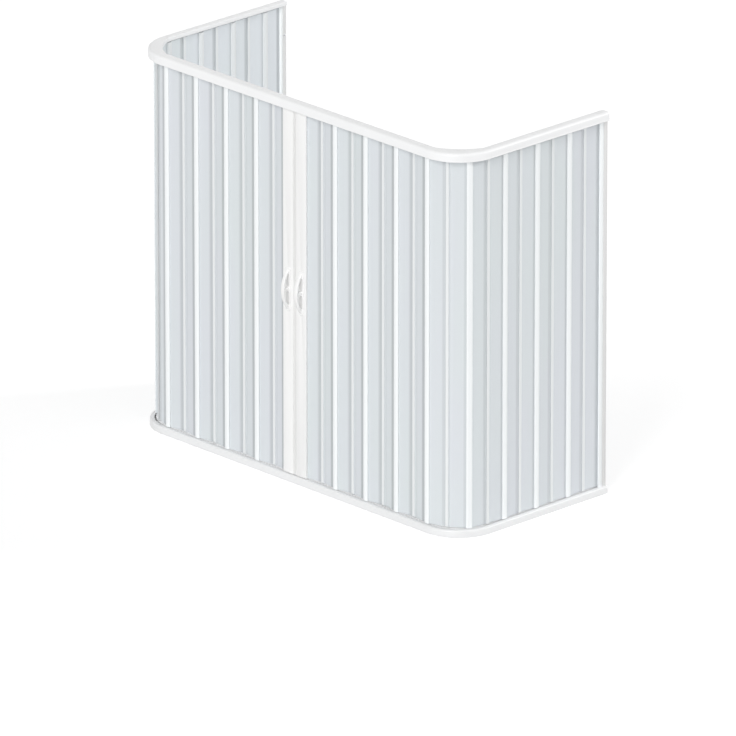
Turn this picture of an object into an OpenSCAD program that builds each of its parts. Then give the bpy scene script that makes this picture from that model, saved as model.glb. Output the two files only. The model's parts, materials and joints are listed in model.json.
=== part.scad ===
// Concertina bath enclosure for three sides, with two folding curtains that meet at the front.
// X runs along the front, +Y towards the wall, +Z up. The origin is under the bottom rail, midway in X and Y.

/* [Enclosure] */
// Length along the front, over the rails
width = 1600; // [1520:10:1760]
// Depth from the front of the rails to the wall
depth = 700; // [640:10:800]
// Height from the underside of the bottom rail to the top of the top rail
height = 1360; // [1000:10:1600]
// Outer radius of the rails' two front corners
corner_r = 150; // [140:5:170]

/* [Rails] */
// Front to back depth of both rails
rail_d = 34; // [32:0.5:37]
// Wall thickness of the rails
rail_wall = 2.5; // [1.8:0.1:3]
// Height of the top rail's outer face
fascia_h = 31; // [28:1:44]
// Height of the top rail's inner lip
lip_h = 13; // [13:0.5:18]
// How far the top of a top corner piece widens on its inner side
corner_web = 16; // [8:1:20]
// Height of the bottom rail
sill_h = 26; // [20:1:34]
// Rounding of the top rail's outer top edge
edge_r = 10; // [5:0.5:11]
// Rounding of the bottom rail's outer top edge
sill_edge_r = 6; // [3:0.5:8]
// Drop from the top of the top rail to the ledges that the runners slide on
track_drop = 11; // [10:0.5:12]
// Thickness of the ledges
ledge_t = 2; // [1.5:0.1:2.5]
// Width of the slot that the stems and guide pins run in
slot_w = 6; // [5.5:0.1:8]
// Length of the plugs that close the rail ends at the wall
plug_len = 12; // [8:1:20]
// Play of the plugs in the rails
plug_play = 0.25; // [0.1:0.05:0.5]

/* [Curtain] */
// Fold angle of the front slats as the curtains stand closed
fold_rest = 9; // [6:0.5:20]
// Fold angle of the front slats when the curtains are pushed open
fold_open = 78; // [60:1:80]
// Thickness of a slat
slat_t = 2; // [1.4:0.1:2.4]
// Radius of the bead along each edge of a slat
bead_r = 2.4; // [2:0.1:2.6]
// Play of a bead in its socket
bead_play = 0.06; // [0.02:0.01:0.1]
// Wall of a socket round its bead
socket_wall = 1.75; // [1.4:0.05:2]
// Angle that the mouth of a socket leaves free beside the slat
mouth_play = 8; // [5:1:10]
// Distance between the two sockets of a hinge strip
strip_pitch = 13; // [12:0.5:15]
// Width of the flat cap of a hinge strip
cap_w = 21; // [19:0.5:24]
// Thickness of the cap
cap_t = 2.5; // [2:0.1:3]
// Material between the cap and the beads
cap_web = 1.2; // [0.9:0.1:2]
// Setback of the strips' caps behind the rails' outer face
cap_in = 13; // [12.5:0.5:14]
// Straight rail between the last front strip and the bend
start_gap = 15.5; // [12:0.5:24]
// Outward fold angle of the corner slats next to the front
corner_fold_a = 6.5; // [2:0.5:7.5]
// Outward fold angle of the corner slats next to the side
corner_fold_b = 1.5; // [1:0.5:6]
// Gap between the bottom rail and the curtain
hang_gap = 2; // [1:0.5:5]
// Gap between the top rail's inner lip and the curtain
head_gap = 7; // [3:0.5:8]

/* [Runners and guides] */
// Length of a runner along the rail
runner_len = 22; // [14:1:28]
// Width of a runner across the rail
runner_w = 14; // [10:1:16]
// Height of a runner
runner_h = 6; // [4:0.5:7]
// Running gap under a runner
runner_gap = 0.3; // [0.1:0.1:0.6]
// Radius of the stems and guide pins
stem_r = 2.5; // [2:0.1:2.6]
// Radius of the spigots that plug into the strips
spigot_r = 1.5; // [1.2:0.1:1.8]
// Length of the spigots
spigot_len = 12; // [8:1:20]
// Play of the spigots and pegs in their holes
spigot_play = 0.08; // [0.02:0.02:0.2]
// Reach of a guide pin into the bottom rail
pin_reach = 12; // [6:1:14]

/* [Closing posts] */
// Width of a closing post
post_w = 48; // [40:1:60]
// Depth of a closing post
post_d = 20; // [19:0.5:26]
// Wall thickness of a closing post
post_wall = 2; // [1.5:0.1:2.5]
// Setback of the posts' face behind the rails' outer face
post_in = 10; // [8:0.5:11]
// Distance of the hinge from the post's far edge
post_hinge_in = 5; // [4.6:0.1:6]
// Width of the magnet seal between a post and the meeting line
seal_w = 7.5; // [5:0.5:12]
// Depth of the magnet seal
seal_d = 16; // [10:1:19]
// Gap between the two magnet seals
meeting_gap = 1; // [0.6:0.2:3]
// Length of the plug that holds a runner in the post's end
post_plug_len = 14; // [8:1:24]

/* [Handles] */
// Height of the handle's back plate
handle_h = 160; // [150:5:200]
// Height of the middle of the handle above the underside of the bottom rail
handle_z = 687; // [500:10:900]
// Reach of the bow in front of the post
handle_reach = 28; // [24:1:40]
// Width of the bow
bow_w = 16; // [8:0.5:18]
// Thickness of the bow
bow_t = 10; // [6:0.5:12]
// Height of the bridge at the middle of the bow
bridge_h = 14; // [8:1:20]
// Distance from the ends of the back plate to the ends of the bow
bow_inset = 5; // [2:1:10]
// Width of the back plate
back_w = 26; // [20:0.5:28]
// Thickness of the back plate
back_t = 2.5; // [2:0.1:4]
// Distance from the meeting line to the middle of the handle
handle_x = 32; // [28:1:36]
// Radius of the pegs that fix the handle in the post
peg_r = 2; // [1.5:0.1:2.5]
// Length of the pegs behind the post's face
peg_len = 6; // [4:0.5:8]
// Distance between the two pegs
peg_pitch = 140; // [100:5:150]

/* [Wall profiles] */
// Width of the wall channel
channel_w = 20; // [18:0.5:21]
// Depth of the wall channel
channel_d = 16; // [12:1:24]
// Thickness of the channel's flanges
flange_t = 1.6; // [1.2:0.1:2]
// Thickness of the channel's web at the wall
web_t = 2; // [1.5:0.1:3]
// Play of the jamb between the flanges
jamb_play = 0.3; // [0.2:0.05:0.5]
// Wall thickness of the jamb
jamb_wall = 1.6; // [1.2:0.1:2]
// Distance from the wall to the jamb's back edge
jamb_back = 4; // [3:0.5:6]
// Distance from the wall to the jamb's front edge
jamb_front = 30.5; // [28:0.5:45]
// Radius of the wall screw holes
wall_hole_r = 2.5; // [2:0.1:3]
// Distance between the wall screw holes
wall_hole_pitch = 560; // [300:10:600]
// Shank radius of the jamb screws
jamb_screw_r = 1.5; // [1.2:0.1:1.8]
// Head radius of the jamb screws
jamb_screw_head_r = 3.2; // [2.6:0.1:3.8]
// Head height of the jamb screws
jamb_screw_head_h = 1.6; // [1.2:0.1:2.2]
// Distance from the wall to the jamb screws
jamb_screw_in = 9; // [8:0.5:11]

/* [Hidden] */
$fn = 48;
eps = 0.01;
pleats = 4;
sides = ["left", "right"];
half_w = width / 2;
front_y = -(depth - (handle_reach - post_in)) / 2;

// Hinge plane behind the rails' outer face, and sizes of the sockets
bore_r = bead_r + bead_play;
cap_to_axis = cap_t + cap_web + bore_r;
hinge_in = cap_in + cap_to_axis;
socket_r = bore_r + socket_wall;
half_pitch = strip_pitch / 2;
slat_angle = asin(slat_t / 2 / bore_r) + mouth_play;
mouth_low = -slat_angle;
mouth_high = fold_open + slat_angle;

// Front run: post hinge, then pleats of two slats and a knee, up to the strip before the bend
post_start = meeting_gap / 2 + seal_w;
post_end = post_start + post_w;
post_axis_x = post_end - post_hinge_in;
start_x = half_w - corner_r - start_gap;
front_run = start_x - half_pitch - post_axis_x;
slat_len = (front_run - (2 * pleats - 1) * strip_pitch) / (2 * pleats * cos(fold_rest));
pleat = 2 * slat_len * cos(fold_rest) + 2 * strip_pitch;
knee_in = hinge_in + slat_len * sin(fold_rest);

// Bend: the strip in it lies where the first corner pair of slats reaches
bend_centre = [half_w - corner_r, corner_r];
bend_hinge_r = corner_r - hinge_in;
bend_start = [start_x + half_pitch, hinge_in];
bend_from = bend_start - bend_centre;
bend_reach = 2 * slat_len * cos(corner_fold_a) + strip_pitch;
bend_socket_r = norm([bend_hinge_r, half_pitch]);
bend_gamma = acos((pow(norm(bend_from), 2) + pow(bend_socket_r, 2) - pow(bend_reach, 2))
    / (2 * norm(bend_from) * bend_socket_r));
bend_angle = atan2(bend_from[0], -bend_from[1]) + bend_gamma + atan(half_pitch / bend_hinge_r);
bend_dir = [cos(bend_angle), sin(bend_angle)];
bend_mid = bend_centre + bend_hinge_r * [sin(bend_angle), -cos(bend_angle)];
bend_exit = bend_mid + half_pitch * bend_dir;

// Side run: as many pleats as fit between the bend and the jamb
side_x = half_w - hinge_in;
turn_reach = 2 * slat_len * cos(corner_fold_b) + strip_pitch;
side_first_y = bend_exit[1] + sqrt(pow(turn_reach, 2) - pow(side_x - bend_exit[0], 2));
jamb_axis_y = depth - jamb_front + socket_r;
side_run = jamb_axis_y - side_first_y - strip_pitch;
side_pleats = ceil((side_run + strip_pitch) / (2 * slat_len + 2 * strip_pitch));
side_fold = acos((side_run - (2 * side_pleats - 1) * strip_pitch) / (2 * side_pleats * slat_len));
side_pleat = (side_run + strip_pitch) / side_pleats;

// Heights of the curtain and of the track
curtain_bottom = sill_h + hang_gap;
curtain_top = height - lip_h - head_gap;
curtain_h = curtain_top - curtain_bottom;
ledge_top = height - track_drop;
runner_z = ledge_top + runner_gap;
jamb_top = min(ledge_top - ledge_t, height - lip_h);

// Handle bow: an arc through the ends of the back plate
bow_h = handle_h - 2 * bow_inset;
bow_r = (pow(bow_h / 2, 2) + pow(handle_reach, 2)) / (2 * handle_reach);
bow_centre = bow_r - handle_reach;

white = [0.95, 0.955, 0.96];
slat_colour = [0.85, 0.87, 0.89];
seal_colour = [0.87, 0.88, 0.89];
steel = [0.7, 0.71, 0.72];

function numbered(name, count) = [for (s = sides) for (i = [1:count]) str(name, "_", s, "_", i)];

// Where a carrier strip hangs: number 0 stands before the bend, the last one would be the post
function carrier_x(i) = start_x - i * pleat;

// Puts a right-hand piece in place, or its mirror image on the left
module on_side(side) {
    mirror([side == "left" ? 1 : 0, 0, 0])
        translate([0, front_y, 0])
            children();
}

// Both halves of a group whose pieces stand still
module on_both_sides() {
    for (s = sides)
        on_side(s)
            children();
}

module box_between(low, high) {
    translate(low)
        cube(high - low);
}

// The outer top edge of a rail section, rounded about the top of its outer face
module rounded_edge_2d(top, r) {
    intersection() {
        translate([0, top - r])
            square(r);
        translate([r, top - r])
            circle(r);
    }
}

// Top rail section, with the depth behind its outer face along X and the height along Y
module top_rail_2d() {
    rounded_edge_2d(height, edge_r);
    translate([edge_r, height - rail_wall])
        square([rail_d - edge_r, rail_wall]);
    translate([0, height - fascia_h])
        square([rail_wall, fascia_h - edge_r]);
    translate([rail_d - rail_wall, height - lip_h])
        square([rail_wall, lip_h]);
    translate([0, ledge_top - ledge_t])
        square([hinge_in - slot_w / 2, ledge_t]);
    translate([hinge_in + slot_w / 2, ledge_top - ledge_t])
        square([rail_d - hinge_in - slot_w / 2, ledge_t]);
}

// Bottom rail section: a hollow sill with a slot in its top
module bottom_rail_2d() {
    difference() {
        union() {
            rounded_edge_2d(sill_h, sill_edge_r);
            translate([sill_edge_r, sill_h - sill_edge_r])
                square([rail_d - sill_edge_r, sill_edge_r]);
            square([rail_d, sill_h - sill_edge_r]);
        }
        translate([rail_wall, rail_wall])
            square([rail_d - 2 * rail_wall, sill_h - sill_edge_r - rail_wall]);
        translate([sill_edge_r, rail_wall])
            square([rail_d - rail_wall - sill_edge_r, sill_h - 2 * rail_wall]);
        translate([hinge_in - slot_w / 2, sill_h / 2])
            square([slot_w, sill_h]);
    }
}

// A rail section drawn along the front, between the two bends
module along_front() {
    translate([-half_w + corner_r, front_y, 0])
        rotate([90, 0, 90])
            linear_extrude(width - 2 * corner_r)
                children();
}

// A rail section swept round the bend
module round_bend() {
    on_both_sides()
        translate([bend_centre[0], bend_centre[1], 0])
            rotate([0, 0, -90])
                rotate_extrude(angle = 90)
                    translate([corner_r, 0])
                        mirror([1, 0])
                            children();
}

// A rail section drawn from the bend to the wall
module along_sides() {
    on_both_sides()
        translate([half_w, corner_r, 0])
            rotate([90, 0, 180])
                linear_extrude(depth - corner_r)
                    children();
}

module top_rail_front() {
    color(white)
        along_front()
            top_rail_2d();
}

// Plan of the web that widens a top corner piece inwards, less a strip along its free edge
module corner_web_2d(strip) {
    inner_r = corner_r - rail_d;
    end_r = inner_r + rail_wall / 4;
    half_chord = end_r / sqrt(2);
    rise = inner_r - corner_web - half_chord;
    web_r = (pow(half_chord, 2) + pow(rise, 2)) / (2 * rise);
    back = (web_r - inner_r + corner_web) / sqrt(2);
    difference() {
        intersection() {
            circle(inner_r + rail_wall / 2);
            translate([0, -corner_r])
                square(corner_r);
        }
        translate([-back, back])
            circle(web_r + strip);
    }
}

module top_rail_corners() {
    color(white) {
        round_bend()
            top_rail_2d();
        on_both_sides()
            translate([bend_centre[0], bend_centre[1], 0]) {
                translate([0, 0, height - rail_wall])
                    linear_extrude(rail_wall)
                        corner_web_2d(0);
                translate([0, 0, height - lip_h])
                    linear_extrude(lip_h)
                        difference() {
                            corner_web_2d(0);
                            corner_web_2d(rail_wall);
                        }
            }
    }
}

module top_rail_sides() {
    color(white)
        along_sides()
            top_rail_2d();
}

module bottom_rail_front() {
    color(white)
        along_front()
            bottom_rail_2d();
}

module bottom_rail_corners() {
    color(white)
        round_bend()
            bottom_rail_2d();
}

module bottom_rail_sides() {
    color(white)
        along_sides()
            bottom_rail_2d();
}

// Blocks that close the hollow of each rail at the wall
module rail_end_plugs() {
    near = rail_wall + plug_play;
    far = rail_d - rail_wall - plug_play;
    color(white)
        on_both_sides() {
            box_between(
                [half_w - far, depth - plug_len, ledge_top],
                [half_w - edge_r, depth, height - rail_wall - plug_play]);
            box_between(
                [half_w - far, depth - plug_len, rail_wall],
                [half_w - near, depth, sill_h - sill_edge_r - plug_play]);
        }
}

// The mouth that lets a slat swing out of a socket, towards +X and +Y
module mouth_2d() {
    reach = 3 * socket_r;
    middle = (mouth_low + mouth_high) / 2;
    polygon([
        [0, 0],
        reach * [cos(mouth_low), sin(mouth_low)],
        reach * [cos(middle), sin(middle)],
        reach * [cos(mouth_high), sin(mouth_high)]
    ]);
}

// What is cut away for a slat's bead and its swing, at the origin
module socket_cut_2d() {
    circle(bore_r);
    mouth_2d();
}

// Hinge strip section: a cap on the -Y side and two sockets that open towards +Y
module strip_2d() {
    translate([-cap_w / 2, -cap_to_axis])
        square([cap_w, cap_t]);
    difference() {
        union() {
            translate([-half_pitch, -cap_to_axis + cap_t / 2])
                square([strip_pitch, cap_to_axis - cap_t / 2 + bore_r + socket_wall / 2]);
            for (end = [-1, 1])
                translate([end * half_pitch, 0])
                    circle(socket_r);
        }
        for (end = [0, 1])
            mirror([end, 0])
                translate([half_pitch, 0])
                    socket_cut_2d();
    }
}

// A hinge strip with a hole in each end for a spigot
module hinge_strip(place, angle) {
    translate([place[0], place[1], curtain_bottom])
        rotate([0, 0, angle])
            difference() {
                linear_extrude(curtain_h)
                    strip_2d();
                for (z = [-eps, curtain_h - spigot_len - 1])
                    translate([0, 0, z])
                        cylinder(r = spigot_r + spigot_play, h = spigot_len + 1 + eps);
            }
}

// A slat from one hinge axis to the next
module slat(place, angle) {
    translate([place[0], place[1], curtain_bottom])
        rotate([0, 0, angle])
            linear_extrude(curtain_h) {
                circle(bead_r);
                translate([slat_len, 0])
                    circle(bead_r);
                translate([0, -slat_t / 2])
                    square([slat_len, slat_t]);
            }
}

// The spigot, stem and runner above a strip, and the spigot and guide pin below it
module guide_set(place, angle, spigots = true) {
    translate([place[0], place[1], 0])
        rotate([0, 0, angle]) {
            translate([0, 0, curtain_top])
                cylinder(r = stem_r, h = runner_z - curtain_top + eps);
            translate([-runner_len / 2, -runner_w / 2, runner_z])
                cube([runner_len, runner_w, runner_h]);
            translate([0, 0, sill_h - pin_reach])
                cylinder(r = stem_r, h = pin_reach + hang_gap);
            if (spigots) {
                translate([0, 0, curtain_top - spigot_len])
                    cylinder(r = spigot_r, h = spigot_len + eps);
                translate([0, 0, curtain_bottom - eps])
                    cylinder(r = spigot_r, h = spigot_len);
            }
        }
}

// A folded pair is [hinge axis, hinge axis, side]: its knee stands on the inner side (1) or the outer side (-1)
function pair_fold(p) = p[2] * acos((norm(p[1] - p[0]) - strip_pitch) / (2 * slat_len));
function pair_dir(p) = atan2(p[1][1] - p[0][1], p[1][0] - p[0][0]);
function ray(angle) = [cos(angle), sin(angle)];
function knee_near(p) = p[0] + slat_len * ray(pair_dir(p) + pair_fold(p));
function knee_far(p) = p[1] - slat_len * ray(pair_dir(p) - pair_fold(p));

module pair_slats(p) {
    slat(p[0], pair_dir(p) + pair_fold(p));
    slat(p[1], 180 + pair_dir(p) - pair_fold(p));
}

module pair_knee(p) {
    hinge_strip((knee_near(p) + knee_far(p)) / 2, 180 + pair_dir(p));
}

// The pairs that stand still: two in the corner, that bulge with the bend, then those of the side
side_pairs = concat(
    [[bend_start, bend_mid - half_pitch * bend_dir, -1]],
    [[bend_exit, [side_x, side_first_y], -1]],
    [for (i = [0:side_pleats - 1]) [
        [side_x, side_first_y + strip_pitch + i * side_pleat],
        [side_x, side_first_y + (i + 1) * side_pleat],
        1
    ]]
);
// Place and heading of each outer strip that stands still
side_posts = concat(
    [[[start_x, hinge_in], 0], [bend_mid, bend_angle]],
    [for (i = [0:side_pleats - 1]) [[side_x, side_first_y + half_pitch + i * side_pleat], 90]]
);

module side_slats(side) {
    color(slat_colour)
        on_side(side)
            for (p = side_pairs)
                pair_slats(p);
}

module side_strips(side) {
    color(white)
        on_side(side) {
            for (p = side_pairs)
                pair_knee(p);
            for (s = side_posts)
                hinge_strip(s[0], s[1]);
        }
}

module side_guides() {
    color(seal_colour)
        on_both_sides()
            for (s = side_posts)
                guide_set(s[0], s[1]);
}

// Front slats, counted from the corner to the post
module front_slat(side, i) {
    joint = ceil(i / 2);
    near = i % 2 == 1;
    corner_axis = [carrier_x(joint - 1) - half_pitch, hinge_in];
    post_side_axis = [carrier_x(joint) + half_pitch, hinge_in];
    color(slat_colour)
        on_side(side)
            if (near)
                slat(corner_axis, 180 - fold_rest);
            else
                slat(post_side_axis, fold_rest);
}

module knee_strip(side, i) {
    color(white)
        on_side(side)
            hinge_strip([carrier_x(i - 1) - pleat / 2, knee_in], 180);
}

module carrier_strip(side, i) {
    color(white)
        on_side(side)
            hinge_strip([carrier_x(i), hinge_in], 0);
}

// The guides of a carrier strip, or, for the last number, those of the closing post
module guides(side, i) {
    color(seal_colour)
        on_side(side)
            if (i < pleats)
                guide_set([carrier_x(i), hinge_in], 0);
            else
                post_guides();
}

// Inner hollow of the post, from the seal side to the wall by the hinge
hollow_low = [post_start + post_wall, post_in + post_wall];
hollow_high = [post_axis_x - socket_r - post_wall, post_in + post_d - post_wall];

module post_guides() {
    middle = [(hollow_low[0] + hollow_high[0]) / 2, hinge_in];
    fit = [plug_play, plug_play];
    guide_set(middle, 0, spigots = false);
    for (z = [curtain_bottom, curtain_top - post_plug_len])
        translate([0, 0, z])
            linear_extrude(post_plug_len)
                translate(hollow_low + fit)
                    square(hollow_high - hollow_low - 2 * fit);
}

// Closing post section: a hollow box with a socket on the side of the curtain
module post_2d() {
    body_end = hollow_high[0] + post_wall;
    difference() {
        union() {
            translate([post_start, post_in])
                square([body_end - post_start, post_d]);
            translate([body_end, post_in])
                square([post_end - body_end, post_wall]);
            translate([body_end, post_in])
                square([post_axis_x - body_end, hinge_in - post_in]);
            translate([post_axis_x, hinge_in])
                circle(socket_r);
        }
        translate(hollow_low)
            square(hollow_high - hollow_low);
        translate([post_axis_x, hinge_in])
            socket_cut_2d();
    }
}

module closing_post(side) {
    color(white)
        on_side(side)
            difference() {
                translate([0, 0, curtain_bottom])
                    linear_extrude(curtain_h)
                        post_2d();
                for (end = [-1, 1])
                    translate([handle_x, post_in - eps, handle_z + end * peg_pitch / 2])
                        rotate([-90, 0, 0])
                            cylinder(r = peg_r + spigot_play, h = post_wall + 2 * eps);
            }
}

module magnet_seal(side) {
    seal_in = hinge_in - seal_d / 2;
    color(seal_colour)
        on_side(side)
            box_between(
                [meeting_gap / 2, seal_in, curtain_bottom],
                [post_start, seal_in + seal_d, curtain_top]);
}

// Side view of the bow, with its reach along X and its height along Y
module bow_2d() {
    difference() {
        intersection() {
            translate([-bow_centre, 0])
                circle(bow_r);
            translate([0, -bow_h / 2])
                square([handle_reach, bow_h]);
        }
        difference() {
            translate([-bow_centre, 0])
                circle(bow_r - bow_t);
            translate([-handle_reach, -bridge_h / 2])
                square([2 * handle_reach, bridge_h]);
            translate([-2 * bow_r, -bow_r])
                square([2 * bow_r + back_t, 2 * bow_r]);
        }
    }
}

module handle(side) {
    color(white)
        on_side(side)
            translate([handle_x, post_in, handle_z]) {
                translate([bow_w / 2, 0, 0])
                    rotate([90, 0, -90])
                        linear_extrude(bow_w)
                            bow_2d();
                rotate([90, 0, 0])
                    linear_extrude(back_t) {
                        square([back_w, handle_h - back_w], center = true);
                        for (end = [-1, 1])
                            translate([0, end * (handle_h - back_w) / 2])
                                circle(back_w / 2);
                    }
                for (end = [-1, 1])
                    translate([0, -eps, end * peg_pitch / 2])
                        rotate([-90, 0, 0])
                            cylinder(r = peg_r, h = peg_len + eps);
            }
}

// Wall channel section at the right-hand wall
module channel_2d() {
    difference() {
        translate([side_x - channel_w / 2, depth - channel_d])
            square([channel_w, channel_d]);
        translate([side_x - channel_w / 2 + flange_t, depth - channel_d - web_t])
            square([channel_w - 2 * flange_t, channel_d]);
    }
}

wall_hole_zs = [for (i = [-1:1]) height / 2 + i * wall_hole_pitch];

module wall_channels() {
    color(white)
        on_both_sides()
            difference() {
                translate([0, 0, sill_h])
                    linear_extrude(jamb_top - sill_h)
                        channel_2d();
                for (z = wall_hole_zs) {
                    translate([side_x, depth + eps, z])
                        rotate([90, 0, 0])
                            cylinder(r = wall_hole_r, h = web_t + 2 * eps);
                    jamb_screw_hole(z, spigot_play);
                }
            }
}

// The hole of one jamb screw, through the inner flange and into the jamb
module jamb_screw_hole(z, play) {
    translate([side_x - channel_w / 2 - eps, depth - jamb_screw_in, z])
        rotate([0, 90, 0])
            cylinder(r = jamb_screw_r + play, h = channel_w / 2);
}

// Jamb section: an open box between the flanges, with a socket and cap at its front
module jamb_2d() {
    jamb_w = channel_w - 2 * flange_t - 2 * jamb_play;
    box_front = jamb_axis_y + socket_r;
    outer_x = side_x + jamb_w / 2;
    difference() {
        union() {
            difference() {
                translate([side_x - jamb_w / 2, box_front - jamb_wall])
                    square([jamb_w, depth - jamb_back - box_front + jamb_wall]);
                translate([side_x - jamb_w / 2 + jamb_wall, box_front])
                    square([jamb_w - 2 * jamb_wall, depth]);
            }
            translate([outer_x - cap_t, depth - jamb_front])
                square([cap_t, jamb_front - jamb_back]);
            translate([side_x, jamb_axis_y])
                square([outer_x - side_x, box_front - jamb_axis_y]);
            translate([side_x, jamb_axis_y])
                circle(socket_r);
        }
        translate([side_x, jamb_axis_y])
            rotate(90)
                mirror([1, 0])
                    socket_cut_2d();
    }
}

module wall_jambs() {
    color(white)
        on_both_sides()
            difference() {
                translate([0, 0, sill_h])
                    linear_extrude(jamb_top - sill_h)
                        jamb_2d();
                for (z = wall_hole_zs)
                    jamb_screw_hole(z, spigot_play);
            }
}

module jamb_screws() {
    head_x = side_x - channel_w / 2;
    color(steel)
        on_both_sides()
            for (z = wall_hole_zs)
                translate([head_x, depth - jamb_screw_in, z])
                    rotate([0, 90, 0]) {
                        translate([0, 0, -jamb_screw_head_h])
                            cylinder(r = jamb_screw_head_r, h = jamb_screw_head_h);
                        translate([0, 0, -eps])
                            cylinder(r = jamb_screw_r, h = flange_t + jamb_play + jamb_wall + 1);
                    }
}

top_rail_front();
top_rail_corners();
top_rail_sides();
bottom_rail_front();
bottom_rail_corners();
bottom_rail_sides();
rail_end_plugs();
wall_channels();
wall_jambs();
jamb_screws();
side_guides();
for (s = sides) {
    side_slats(s);
    side_strips(s);
    closing_post(s);
    magnet_seal(s);
    handle(s);
    for (i = [1:2 * pleats])
        front_slat(s, i);
    for (i = [1:pleats])
        knee_strip(s, i);
    for (i = [1:pleats - 1])
        carrier_strip(s, i);
    for (i = [1:pleats])
        guides(s, i);
}
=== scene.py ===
"""Finished look of a concertina bath enclosure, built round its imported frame."""

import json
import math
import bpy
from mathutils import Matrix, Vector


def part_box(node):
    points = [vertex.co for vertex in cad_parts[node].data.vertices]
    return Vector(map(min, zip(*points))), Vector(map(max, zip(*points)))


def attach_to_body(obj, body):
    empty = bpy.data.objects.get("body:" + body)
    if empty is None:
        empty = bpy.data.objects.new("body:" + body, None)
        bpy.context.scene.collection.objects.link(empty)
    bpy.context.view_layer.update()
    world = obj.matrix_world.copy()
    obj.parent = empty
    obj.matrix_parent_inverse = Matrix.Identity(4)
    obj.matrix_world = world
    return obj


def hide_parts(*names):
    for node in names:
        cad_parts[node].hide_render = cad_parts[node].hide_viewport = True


bl_info = {
    "name": "Concertina Bath Enclosure",
    "version": (1, 0, 0),
    "blender": (4, 5, 0),
    "location": "3D View > Sidebar > Enclosure",
    "description": "Builds the rails, curtains, posts and handles of a bath enclosure with their finishes",
    "category": "Object",
}

import bmesh
import bpy
import numpy as np
from bpy.props import FloatProperty, FloatVectorProperty, IntProperty, PointerProperty
from mathutils import Vector

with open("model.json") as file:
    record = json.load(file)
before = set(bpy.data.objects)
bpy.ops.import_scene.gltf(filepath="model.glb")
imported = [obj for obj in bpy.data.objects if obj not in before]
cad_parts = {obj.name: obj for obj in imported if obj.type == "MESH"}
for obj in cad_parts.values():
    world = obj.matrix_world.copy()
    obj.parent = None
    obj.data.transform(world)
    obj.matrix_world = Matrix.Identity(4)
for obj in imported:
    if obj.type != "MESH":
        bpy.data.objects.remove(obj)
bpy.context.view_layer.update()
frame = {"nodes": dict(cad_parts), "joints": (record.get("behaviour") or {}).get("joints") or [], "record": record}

MERGE = 1e-6
FLAT_ANGLE = math.radians(0.4)
SHARP_ANGLE = math.radians(32)
SIDES = ("left", "right")
OUTWARD = {"left": -1, "right": 1}
BODY_OF = {
    node: body
    for body, nodes in frame["record"]["behaviour"]["bodies"].items()
    for node in nodes
}

# Places that come from the frame
RAIL_LOW, RAIL_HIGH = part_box("top_rail_front")
SILL_LOW, SILL_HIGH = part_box("bottom_rail_front")
WALL_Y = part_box("top_rail_sides")[1].y
FRONT_Y = RAIL_LOW.y
RAIL_DEPTH = RAIL_HIGH.y - RAIL_LOW.y
HALF_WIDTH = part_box("top_rail_corners")[1].x
CORNER_RADIUS = HALF_WIDTH - RAIL_HIGH.x
HINGE_DEPTH = frame["joints"][0]["pos_m"][1] - FRONT_Y

# Painted shade beside the hinges: a darker band on one side of each hinge, or painted light where the depth is
# below 0: (depth of tone, full to, gone by)
KNEE_BAND = (0.23, 0.009, 0.019)
OUTER_BAND = (0.30, 0.019, 0.025)
POST_BAND = (0.30, 0.0235, 0.028)
SIDE_BAND = (0.12, 0.010, 0.014)
LEFT_BAND = (0.26, 0.010, 0.015)
BEND_BAND = (0.32, 0.022, 0.034)
BEND_KNEE_BAND = (0.22, 0.006, 0.013)
FAINT_BAND = (0.06, 0.009, 0.013)
LIT_BAND = (-0.02, 0.006, 0.014)
# A standing slat has its near band of painted shade at the end that lies further this way
PAINTED_SHADE_WAY = np.array((0.69, 0.724))


def size(name, description, default):
    """A length in metres."""
    return FloatProperty(name=name, description=description, default=default, unit="LENGTH")


def amount(name, description, default):
    """A strength or share from 0 up."""
    return FloatProperty(name=name, description=description, default=default, min=0)


def angle_of(name, description, degrees):
    """An angle, given in degrees."""
    return FloatProperty(
        name=name, description=description, default=math.radians(degrees), subtype="ANGLE")


def colour_of(name, description, default):
    """A colour."""
    return FloatVectorProperty(
        name=name, description=description, subtype="COLOR", default=default, min=0, max=1)


def direction_of(name, description, default):
    """A direction in space."""
    return FloatVectorProperty(
        name=name, description=description, default=default, subtype="DIRECTION")


class RailSettings(bpy.types.PropertyGroup):
    """Sizes and colour of the two rails."""

    wall: size("Wall", "Thickness of the rail walls", 0.0025)
    lip: size("Inner lip", "Height of the top rail's inner lip", 0.013)
    edge: size("Outer edge", "Rounding of the top rail's outer edge", 0.010)
    corner_web: size("Corner web", "How far the top corner pieces widen on their inner side", 0.016)
    sill_edge: size("Sill edge", "Rounding of the bottom rail's outer edge", 0.006)
    small_edge: size("Small edges", "Rounding of the other edges", 0.0006)
    track_drop: size("Track drop", "Depth of the runner ledges below the top", 0.011)
    ledge: size("Ledge", "Thickness of the runner ledges", 0.002)
    slot: size("Slot", "Width of the slot for stems and guide pins", 0.006)
    bead: size("Bead height", "Height of the raised bead along the fascia's lower edge", 0.0035)
    bead_step: size("Bead step", "How far the bead stands in front of the fascia", 0.0006)
    seam: size("Seam", "Hairline gap where a corner piece meets a length of rail", 0.0003)
    bend_steps: IntProperty(
        name="Bend steps", description="Divisions round each bend", default=40, min=8)
    colour: colour_of("Colour", "Colour of the rail plastic", (0.90, 0.905, 0.91))


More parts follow.
